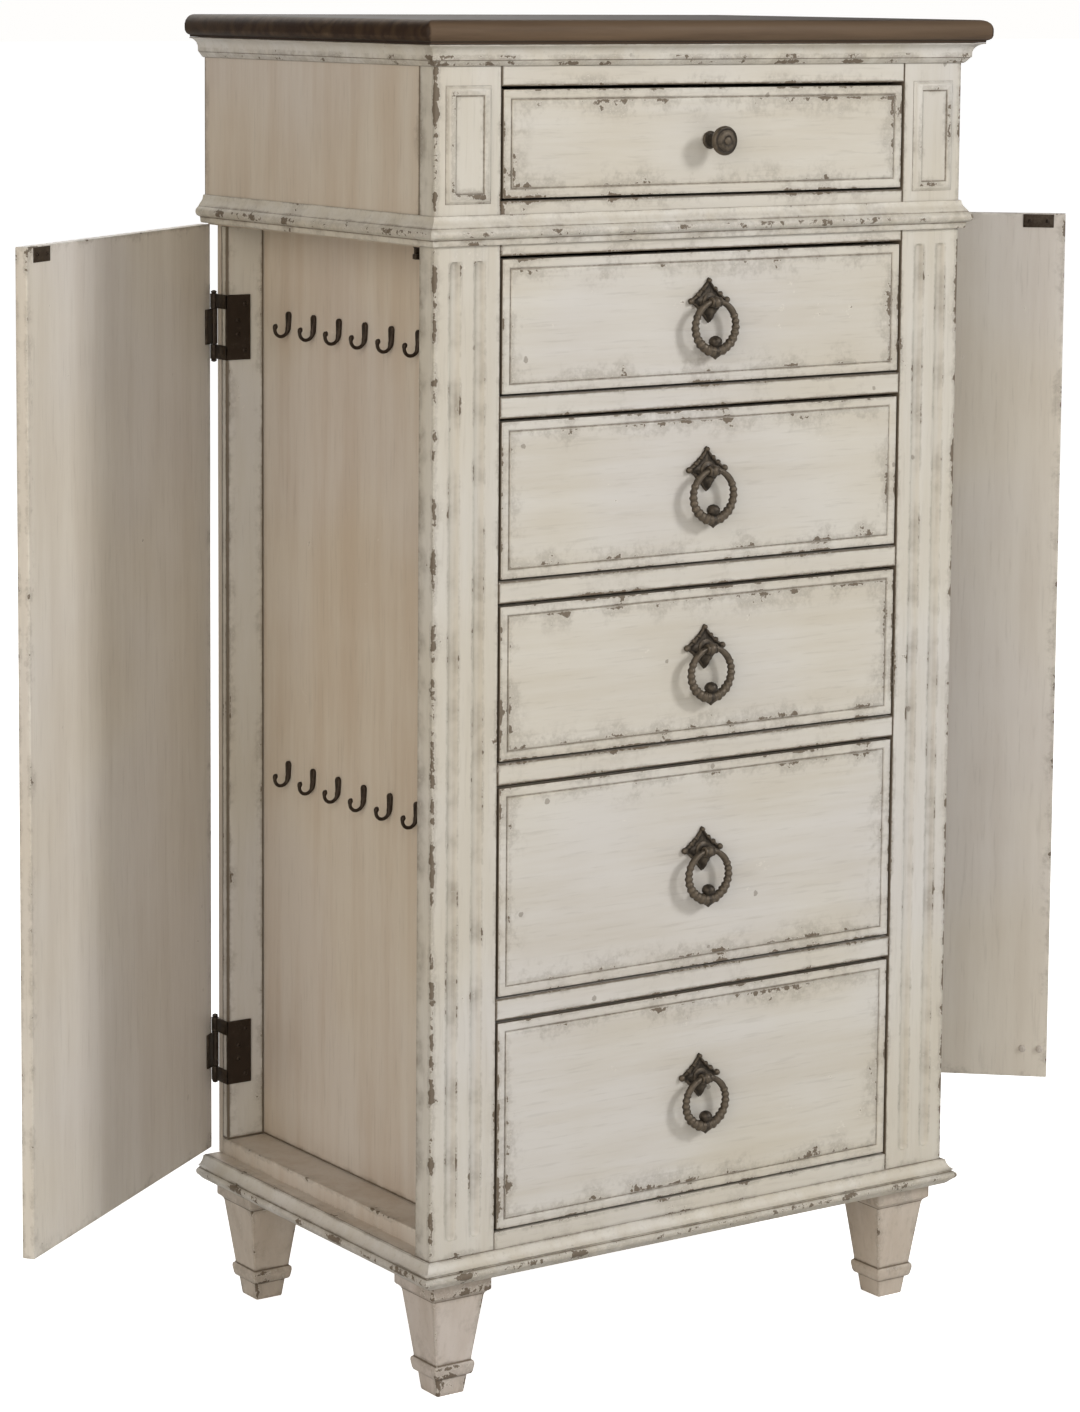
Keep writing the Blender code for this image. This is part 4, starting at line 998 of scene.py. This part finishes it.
class CHEST_OT_drawers(ChestOperator, bpy.types.Operator):
    """Make the six drawer fronts and finish the boxes behind them"""

    bl_idname = "chest.drawers"
    bl_label = "Drawers"

    def make(self, context):
        detail = context.scene.chest_detail
        groove = detail.groove * 1000
        # Each inset's width and rise, and the wear at its line: border, groove, and the fading field
        insets = steps(0, 0, (1.6, 0, 0.45, 0), (3, 0, 0.2, 0), (detail.border * 1000 - 6.8, 0, 0.45, 0))
        insets += steps(0, 0, (0.7, -groove * 0.35, 0.5, 0.3), (0.6, -groove * 0.65, 0.1, 0.66), (0.7, 0, 0.1, 0.66))
        insets += steps(0, 0, (0.5, groove * 0.75, 0.6, 0.4), (0.7, groove * 0.25, 0.95, 0.05), (1.6, 0, 0.75, 0.03))
        insets += steps(0, 0, (3, 0, 0.42, 0.02), (7, 0, 0.16, 0), (12, 0, 0, 0))
        for drawer in [f"drawer_{number}" for number in range(1, 7)]:
            low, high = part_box(f"{drawer}_front")
            low, high = low + Vector((0.0009, 0, 0.0005)), high - Vector((0.0009, 0, 0.0012))
            bm = new_shape()
            face = add_board(bm, low, high, 0.0009, lines=())[0, -1, 0]
            for depth in (0.0030, 0.0060):
                everything = bm.verts[:] + bm.edges[:] + bm.faces[:]
                place = low + Vector((0, depth, 0))
                bmesh.ops.bisect_plane(bm, geom=everything, plane_co=place, plane_no=(0, 1, 0))
            # Painted shade of the gap round the drawer: the front's sides take the full crevice value in their first
            # 4 mm
            sides = [v for v in bm.verts if v.co.y > low.y + 0.0005]
            mark(bm, sides, worn=0.0, crevice=0.0)
            mark(bm, [v for v in sides if v.co.y < low.y + 0.0040], crevice=1.0)
            for width, rise, worn, crevice in insets:
                inset(bm, face, width, rise)
                mark(bm, face.verts, worn, crevice)
            put_piece(f"{drawer}_face", bm, drawer, [f"{drawer}_front"], [paint("drawer_paint")])
            paint_node(f"{drawer}_box", raw_wood("drawer_box_wood", (0.09, 0.09, 1.0)))


class CHEST_OT_pulls(ChestOperator, bpy.types.Operator):
    """Make the five pulls: a pointed backplate with a boss, and a loose ring"""

    bl_idname = "chest.pulls"
    bl_label = "Ring pulls"

    def mirrored(self, half):
        return half + [(-x, z) for x, z in reversed(half[1:-1])]

    def add_plate(self, bm, centre):
        half = steps(0, 0, (0, 19.5), (1.3, 18.4), (2.2, 15.8), (4.6, 13.4), (6.2, 10.8), (9, 9.2), (10.8, 6.6))
        half += steps(0, 0, (13.4, 5.2), (15.8, 3.4), (18, 2.6), (19.3, 0.6), (18, -1.6), (15.4, -2.2))
        half += steps(0, 0, (12.2, -4.6), (9.4, -7.6), (6, -11.2), (3.2, -14.6), (0, -18))
        outline = self.mirrored(half)
        levels = ((1.0, -0.0003, 0.1), (1.0, -0.0017, 0.5), (0.94, -0.0027, 0.9), (0.84, -0.0029, 0.4))
        levels += ((0.75, -0.0018, 0.0), (0.62, -0.0017, 0.35), (0.52, -0.0024, 0.5), (0.30, -0.0028, 0.4))
        rings = []
        for scale, y, worn in levels:
            rings.append([(centre + Vector((x * scale, y, z * scale)), worn, 0.0) for x, z in outline])
        add_tower(bm, rings)
        for x, z, radius in steps(0, 0, (18.1, 0.6, 0.0026), (-18.1, 0.6, 0.0026), (0, 17.2, 0.0019)):
            bead = [(radius, -0.0010, 0.3), (radius * 1.05, -0.0026, 0.6)]
            bead += [(radius * 0.8, -0.0040, 1.0), (radius * 0.3, -0.0047, 1.0)]
            add_turned(bm, bead, centre + Vector((x, 0, z)), AXIS_Y, 16)
        for sign in (-1, 1):
            for x, z, radius in steps(0, 0, (11.2, 5.8, 0.0022), (6.2, 10.2, 0.0018)):
                bead = [(radius, -0.0016, 0.2), (radius, -0.0030, 0.5), (radius * 0.5, -0.0041, 0.9)]
                add_turned(bm, bead, centre + Vector((sign * x, 0, z)), AXIS_Y, 12)

    def add_bud(self, bm, centre):
        """The dark leaf bud that hangs in front of the plate, inside the ring."""
        half = steps(0, 0, (0, -0.6), (3, -1.2), (5.6, -3.4), (7, -6.2), (6.4, -9.4), (4.4, -12.4))
        half += steps(0, 0, (2.2, -15), (0, -18.6))
        heart = -0.0070
        levels = ((1.0, -0.0016, 0.0), (1.0, -0.0036, 0.25), (0.82, -0.0056, 0.3), (0.5, -0.0072, 0.5))
        rings = []
        for scale, y, worn in (*levels, (0.16, -0.0078, 0.8)):
            ring = []
            for i, (x, z) in enumerate(self.mirrored(half)):
                crease = 0.86 if i % 2 else 1.0
                place = Vector((x * scale * crease, y, heart + (z - heart) * scale * crease))
                ring.append((centre + place, worn * crease, 0.0))
            rings.append(ring)
        add_tower(bm, rings)

    def add_boss(self, bm, centre, standoff):
        """The neck and the bored ball that holds the ring."""
        profile = steps(0, 0, (6.8, -2, 0.4), (7, -3.4, 0.9), (5.8, -4.2, 0.6), (3.8, -4.8, 0))
        profile += steps(0, 0, (3.3, -6.4, 0), (3.6, -7.6, 0.2))
        radius = 0.0049
        for i, a in enumerate(arc(42, 180, 9)):
            step = (max(0.0003, radius * math.sin(a)), -standoff + radius * math.cos(a))
            profile.append((*step, 0.35 + 0.6 * i / 9))
        add_turned(bm, profile, centre, AXIS_Y, 28)
        for sign in (-1, 1):
            cap = steps(0, 0, (4.1, 2.8 * sign, 0.2), (4.1, 4.6 * sign, 0.9),
                        (3.2, 5.2 * sign, 1), (2.6, 5.3 * sign, 0.3))
            add_turned(bm, cap[::sign], centre - Vector((0, standoff, 0)), AXIS_X, 20)

    def add_ring(self, bm, pivot):
        """A ring that thins into its pin at the top, with fine collars and a pointed drop below."""
        radius, pin_half = 0.0205, 0.0050
        drop = math.sqrt(radius**2 - pin_half**2)
        start = math.asin(pin_half / radius)
        path, radii = [], []
        count = 150
        for i in range(count + 1):
            share = i / count
            angle = start + (2 * math.pi - 2 * start) * share
            path.append(pivot + Vector((radius * math.sin(angle), 0, radius * math.cos(angle) - drop)))
            across = math.sin(math.pi * share)
            leaf = 0.00045 * math.cos(2 * math.pi * share * 25) * (1 if 0.14 < share < 0.86 else 0)
            leaf += 0.0007 * abs(math.sin(2 * math.pi * share * 5)) * across**5
            radii.append(0.0021 + 0.0008 * min(1, 3.2 * across) + 0.0009 * across**5 + leaf)
        path += [pivot + Vector((-0.002, 0, 0)), pivot + Vector((0.002, 0, 0))]
        radii += [0.0017, 0.0017]
        add_tube(bm, path, radii, 14, closed=True)
        worn_layer, _ = layers(bm)
        for vert in bm.verts:
            front = (pivot.y - vert.co.y) / 0.003
            vert[worn_layer] = max(0.05, min(1.0, 0.45 + 0.55 * front))

        bottom = pivot.z - radius - drop
        profile = steps(0, bottom, (0.4, -6.8, 0.9), (1.4, -5.6, 0.6), (3.6, -3.8, 0.4), (5.6, -1.8, 0.4))
        profile += steps(0, bottom, (6.6, 0.4, 0.5), (5.2, 2.4, 0.2), (3.8, 3.6, 0), (4.6, 4.8, 0.1))
        profile += steps(0, bottom, (5.7, 7, 0.4), (5.5, 9.2, 0.5), (4.2, 11.2, 0.4),
                         (2, 12.4, 0.2), (0.4, 12.8, 0.2))
        done = len(bm.verts)
        add_turned(bm, profile, (pivot.x, pivot.y, 0), AXIS_Z, 20)
        bm.verts.ensure_lookup_table()
        for vert in bm.verts[done:]:
            if vert.co.z < bottom + 0.0045:
                vert.co.x = pivot.x + (vert.co.x - pivot.x) * 1.35
                vert.co.y = pivot.y + (vert.co.y - pivot.y) * 0.72

    def make(self, context):
        for number in range(2, 7):
            pull, drawer = f"pull_{number}", f"drawer_{number}"
            pivot = Vector(JOINTS[f"{pull}_swing"]["pos_m"])
            centre = Vector((pivot.x, FRONT_Y, pivot.z))
            bm = new_shape()
            self.add_plate(bm, centre)
            self.add_boss(bm, centre, FRONT_Y - pivot.y)
            self.add_bud(bm, centre)
            put_piece(f"{pull}_backplate", bm, drawer, [f"{pull}_plate"], [pull_metal()])
            bm = new_shape()
            self.add_ring(bm, pivot)
            nodes = [f"{pull}_ring"]
            put_piece(f"{pull}_loop", bm, f"pull_ring_{number}", nodes, [pull_metal()], smooth=60)


class CHEST_OT_knob(ChestOperator, bpy.types.Operator):
    """Make the turned knob of the top drawer"""

    bl_idname = "chest.knob"
    bl_label = "Knob"

    def make(self, context):
        low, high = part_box("drawer_1_knob")
        centre = Vector(((low.x + high.x) / 2, FRONT_Y, (low.z + high.z) / 2))
        reach = FRONT_Y - low.y
        profile = steps(0, 0, (7.2, -0.3, 0.3), (7.4, -1.2, 0.8), (6.8, -2.2, 0.6), (5.2, -2.8, 0), (4.6, -4.6, 0))
        profile += steps(0, 0, (4.4, -8, 0.1), (5, -10.6, 0.3), (6, -11.6, 0.8), (5.6, -12.6, 0.2), (7, -14.2, 0))
        profile += steps(0, 0, (9.8, -16.4, 0.2), (11.6, -18.6, 0.8), (12, -20.4, 1),
                         (11.9, -21.8, 1), (11, -23, 0.7))
        profile += steps(0, 0, (10, -23.4, 0.1), (9.4, -23.2, 0), (8.6, -23.8, 0.6),
                         (6.4, -25, 0.8), (4.2, -25.4, 0.4))
        profile += steps(0, 0, (3.6, -25.2, 0), (3.2, -25.8, 0.7)) + steps(0, -reach, (2, 0.1, 1), (0.3, 0, 1))
        bm = new_shape()
        add_turned(bm, profile, centre, AXIS_Y, 48)
        put_piece("turned_knob", bm, "drawer_1", ["drawer_1_knob"], [pull_metal()], smooth=50)


class CHEST_OT_hinges(ChestOperator, bpy.types.Operator):
    """Make the wrap hinges: a frame leaf with arms and finials, and a leaf on the door"""

    bl_idname = "chest.hinges"
    bl_label = "Hinges"

    thick = 0.0014
    knuckle = 0.0032

    def make(self, context):
        for side, sign in SIDES:
            joint = JOINTS[f"door_{side}_swing"]
            x, y, _ = joint["pos_m"]
            pin = Vector((CENTRE_X + abs(x - CENTRE_X), y, 0))
            for level in ("upper", "lower"):
                name = f"hinge_frame_leaf_{side}_{level}"
                low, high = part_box(name)
                middle = (low.z + high.z) / 2
                bm = new_shape()
                self.add_frame_leaf(bm, pin, middle)
                to_side(bm, sign)
                put_piece(f"{name}_plate", bm, "cabinet", [name], [hinge_metal()])

                name = f"hinge_door_leaf_{side}_{level}"
                bm = new_shape()
                self.add_door_leaf(bm, pin, middle)
                spin_about(bm, pin, -math.radians(joint["range_deg"][0]))
                to_side(bm, sign)
                put_piece(f"{name}_plate", bm, f"door_{side}", [name], [hinge_metal()])

    def add_frame_leaf(self, bm, pin, middle):
        """The plate on the stile, an arm above and below to the pin, and the pin with its finials."""
        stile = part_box("back_stile_right")
        inside, plate_y = stile[1].x + SLACK, stile[0].y - SLACK
        outside = inside + self.thick
        z0, z1, k0, k1 = middle - 0.028, middle + 0.028, middle - 0.01575, middle + 0.01575
        corner = (stile[1].x - 0.0225, plate_y - self.thick, z0)
        add_board(bm, corner, (outside, plate_y, z1), 0.0003, lines=((0.0012, 0.2),))
        wide, slim = self.knuckle, self.knuckle - 0.0003
        for a, b in ((z0, k0), (k1, z1)):
            add_board(bm, (inside, plate_y - self.thick, a), (outside, pin.y, b), 0.0003, lines=())
            barrel = [(slim, a - 0.0003, 0.9), (wide, a + 0.0001, 0.8), (wide, b - 0.0003, 0.8), (slim, b, 0.9)]
            add_turned(bm, barrel, pin, AXIS_Z, 24)
        for base, up in ((z1, 1), (z0, -1)):
            tip = steps(0, base, (1.5, -2 * up, 0), (2, 0.4 * up, 0), (2.6, 1.2 * up, 0.9))
            tip += steps(0, base, (2.4, 2.1 * up, 0.9), (1.2, 2.8 * up, 0), (0.4, 3 * up, 0))
            add_turned(bm, tip[::up], pin, AXIS_Z, 20)
        add_turned(bm, [(0.0015, k0 - 0.001, 0.0), (0.0015, k1 + 0.001, 0.0)], pin, AXIS_Z, 16)
        for x, z in ((0.017, 0.020), (0.010, 0.006), (0.017, -0.020), (0.010, -0.006)):
            add_screw(bm, (stile[1].x - x, plate_y - self.thick, middle + z), (0, -1, 0), 0.0022)

    def add_door_leaf(self, bm, pin, middle):
        """The plate on the door, shown closed, with its bored knuckle between the frame leaf's."""
        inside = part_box("back_stile_right")[1].x + SLACK
        a, b = middle - 0.01535, middle + 0.01535
        near, far = (inside, pin.y - 0.0165, a + 0.0003), (inside + self.thick, pin.y - 0.0022, b - 0.0003)
        add_board(bm, near, far, 0.0003, lines=())
        bore, wide, slim = 0.0017, self.knuckle, self.knuckle - 0.0003
        section = ((bore, a), (slim, a), (wide, a + 0.0003), (wide, b - 0.0003), (slim, b), (bore, b))
        rings = []
        for c, s in circle(24):
            points = [((pin.x + radius * c, pin.y + radius * s, z), radius) for radius, z in section]
            rings.append([(point, 0.7 if radius > bore else 0.0, 0.0) for point, radius in points])
        close_tower(bm, rings)
        for z in (-0.0085, 0.0085):
            add_screw(bm, (inside, pin.y - 0.0115, middle + z), (-1, 0, 0), 0.0019, dome=0.15)


class CHEST_OT_hooks(ChestOperator, bpy.types.Operator):
    """Make both sets of J hooks and the catches of the doors"""

    bl_idname = "chest.hooks"
    bl_label = "Hooks and catches"

    def add_hook(self, bm, face_x, y, top):
        """One hook: a flat shank with a rounded top, and a wire that curls up to a blunt tip."""
        height, half, thick = 0.0165, 0.0033, 0.0026
        rings = []
        for x, shrink in ((0.0002, 0.0), (thick - 0.0006, 0.0), (thick, 0.0006)):
            r = half - shrink
            ring = [(y + r * math.cos(a), top - half + r * math.sin(a)) for a in arc(0, 180, 8)]
            ring += [(y + r * math.cos(a) * 0.72, top - height + half + r * math.sin(a)) for a in arc(180, 360, 4)]
            rings.append([((face_x + x, ry, rz), 0.7, 0.0) for ry, rz in ring])
        add_tower(bm, rings)
        radius, wire = 0.0068, 0.0015
        wire_x = face_x + wire + 0.0002
        middle = Vector((wire_x + radius, y, top - height - 0.0060 + wire + radius))
        path = [Vector((wire_x, y, middle.z + 0.0060)), Vector((wire_x, y, middle.z + 0.0030))]
        for i, a in enumerate(arc(180, 402, 18)):
            reach = radius * (1 - 0.16 * max(0, i - 9) / 9)
            path.append(middle + Vector((reach * math.cos(a), 0, reach * math.sin(a))))
        shares = [0.9, 1.1] + [1.12 - 0.12 * min(1, i / 6) for i in range(19)]
        shares[2:5] = [1.5, 1.4, 1.25]
        shares[-4:] = [1.3, 1.5, 1.3, 0.5]
        add_tube(bm, path, [wire * share for share in shares], 12)

    def make(self, context):
        face_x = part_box("recess_panel_right")[1].x + SLACK
        x, y, z = BODY_HIGH.x - 0.0215, FRONT_Y + 0.046, CEILING
        for side, sign in SIDES:
            low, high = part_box(f"hooks_{side}")
            first, last = low.y + 0.0040, high.y - 0.0040
            bm = new_shape()
            for top in (high.z, high.z - 0.3885):
                for i in range(6):
                    self.add_hook(bm, face_x, first + (last - first) * i / 5, top)
            to_side(bm, sign)
            put_piece(f"j_hooks_{side}", bm, "cabinet", [f"hooks_{side}"], [hinge_metal()], smooth=50)

            # A catch: its base on the ceiling, the arm that hangs from it, and the roller
            bm = new_shape()
            add_board(bm, (x - 0.004, y, z - 0.0030), (x + 0.004, y + 0.013, z - 0.0002), 0.0005, lines=())
            add_board(bm, (x - 0.003, y + 0.008, z - 0.0125), (x + 0.004, y + 0.0115, z - 0.0025), 0.0006, lines=())
            add_board(bm, (x + 0.0022, y + 0.005, z - 0.0120), (x + 0.006, y + 0.0105, z - 0.0078), 0.0006, lines=())
            to_side(bm, sign)
            put_piece(f"catch_{side}", bm, "cabinet", [], [hinge_metal()])


class CHEST_OT_stage(ChestOperator, bpy.types.Operator):
    """Make the floor, the lights and the camera"""

    bl_idname = "chest.stage"
    bl_label = "Stage"

    def make(self, context):
        stage, scene = context.scene.chest_stage, context.scene
        scene.view_settings.view_transform = "Standard"
        self.make_floor(scene, stage)
        self.make_world(scene, stage)
        key, fill = stage.key_power, stage.fill_power
        self.add_light(scene, "key", (0.70, -1.0, 0.66), 4.6, 1.1, key, (1.0, 0.99, 0.98))
        self.add_light(scene, "fill", (-1.0, -0.7, 0.35), 5.5, 4.6, fill, (1.0, 0.92, 0.82))
        self.add_light(scene, "front", (-0.05, -1.0, 0.3), 5.5, 3.0, fill * 0.20, (1.0, 1.0, 1.0))
        self.add_light(scene, "back", (0.25, 1.0, 0.55), 5.0, 4.0, fill * 0.55, (1.0, 0.98, 0.95))
        self.make_camera(scene, stage)

    def make_floor(self, scene, stage):
        """A wide floor that looks white itself but lights the chest only by what it reflects."""
        bm = bmesh.new()
        bmesh.ops.create_grid(bm, x_segments=1, y_segments=1, size=60)
        mesh = bpy.data.meshes.new("studio_floor")
        bm.to_mesh(mesh)
        bm.free()
        floor = bpy.data.objects.new("studio_floor", mesh)
        scene.collection.objects.link(floor)
        made, g, shader = new_material("studio_floor")
        shader.inputs["Base Color"].default_value = (*stage.floor, 1)
        shader.inputs["Roughness"].default_value = 0.7
        shader.inputs["Emission Color"].default_value = (1, 1, 1, 1)
        seen = g.add("ShaderNodeLightPath").outputs["Is Camera Ray"]
        g.feed(shader.inputs["Emission Strength"], g.times(seen, 0.86))
        mesh.materials.append(made)

    def make_world(self, scene, stage):
        world = bpy.data.worlds.new("studio")
        world.use_nodes = True
        back = world.node_tree.nodes["Background"]
        back.inputs["Color"].default_value = (1.0, 0.99, 0.975, 1)
        g = Graph(world.node_tree)
        seen = g.add("ShaderNodeLightPath").outputs["Is Camera Ray"]
        g.feed(back.inputs["Strength"], g.math("MAXIMUM", seen, stage.surroundings))
        scene.world = world

    def make_camera(self, scene, stage):
        """The camera stands at the chest's left front, a little above its top, and looks slightly down."""
        place = Matrix.Translation((-1.96157, -2.81519, 1.14978))
        yaw, pitch, roll = 0.60015, 0.11678, 0.00764
        camera = bpy.data.objects.new("camera", bpy.data.cameras.new("camera"))
        scene.collection.objects.link(camera)
        upright = Matrix.Rotation(math.pi / 2 - pitch, 4, "X")
        camera.matrix_world = place @ Matrix.Rotation(-yaw, 4, "Z") @ upright @ Matrix.Rotation(roll, 4, "Z")
        camera.data.lens = stage.lens
        camera.data.shift_y = -0.18
        scene.camera = camera

    def add_light(self, scene, name, direction, distance, size, power, tint):
        data = bpy.data.lights.new(name, "AREA")
        data.shape = "DISK"
        data.size = size
        data.energy = power
        data.color = tint
        light = bpy.data.objects.new(name, data)
        scene.collection.objects.link(light)
        direction = Vector(direction).normalized()
        light.location = Vector((CENTRE_X, FRONT_Y, 0.6)) + direction * distance
        light.rotation_euler = direction.to_track_quat("Z", "Y").to_euler()


OPERATORS = (
    CHEST_OT_stage,
    CHEST_OT_top,
    CHEST_OT_mouldings,
    CHEST_OT_posts,
    CHEST_OT_rails,
    CHEST_OT_case,
    CHEST_OT_feet,
    CHEST_OT_doors,
    CHEST_OT_drawers,
    CHEST_OT_pulls,
    CHEST_OT_knob,
    CHEST_OT_hinges,
    CHEST_OT_hooks,
)


class CHEST_PT_panel(bpy.types.Panel):
    """The chest's settings and pieces, in the 3D view's sidebar"""

    bl_idname = "CHEST_PT_panel"
    bl_label = "Jewelry Chest"
    bl_space_type = "VIEW_3D"
    bl_region_type = "UI"
    bl_category = "Jewelry Chest"

    def draw(self, context):
        for name, group in SETTINGS:
            box = self.layout.box()
            for key in group.__annotations__:
                box.prop(getattr(context.scene, name), key)
        for operator in OPERATORS:
            self.layout.operator(operator.bl_idname)


def register():
    for name, group in SETTINGS:
        bpy.utils.register_class(group)
        setattr(bpy.types.Scene, name, bpy.props.PointerProperty(type=group))
    for operator in OPERATORS:
        bpy.utils.register_class(operator)
    bpy.utils.register_class(CHEST_PT_panel)


def unregister():
    bpy.utils.unregister_class(CHEST_PT_panel)
    for operator in reversed(OPERATORS):
        bpy.utils.unregister_class(operator)
    for name, group in reversed(SETTINGS):
        delattr(bpy.types.Scene, name)
        bpy.utils.unregister_class(group)


def main():
    register()
    for operator in OPERATORS:
        family, name = operator.bl_idname.split(".")
        getattr(getattr(bpy.ops, family), name)()


if __name__ == "__main__":
    main()
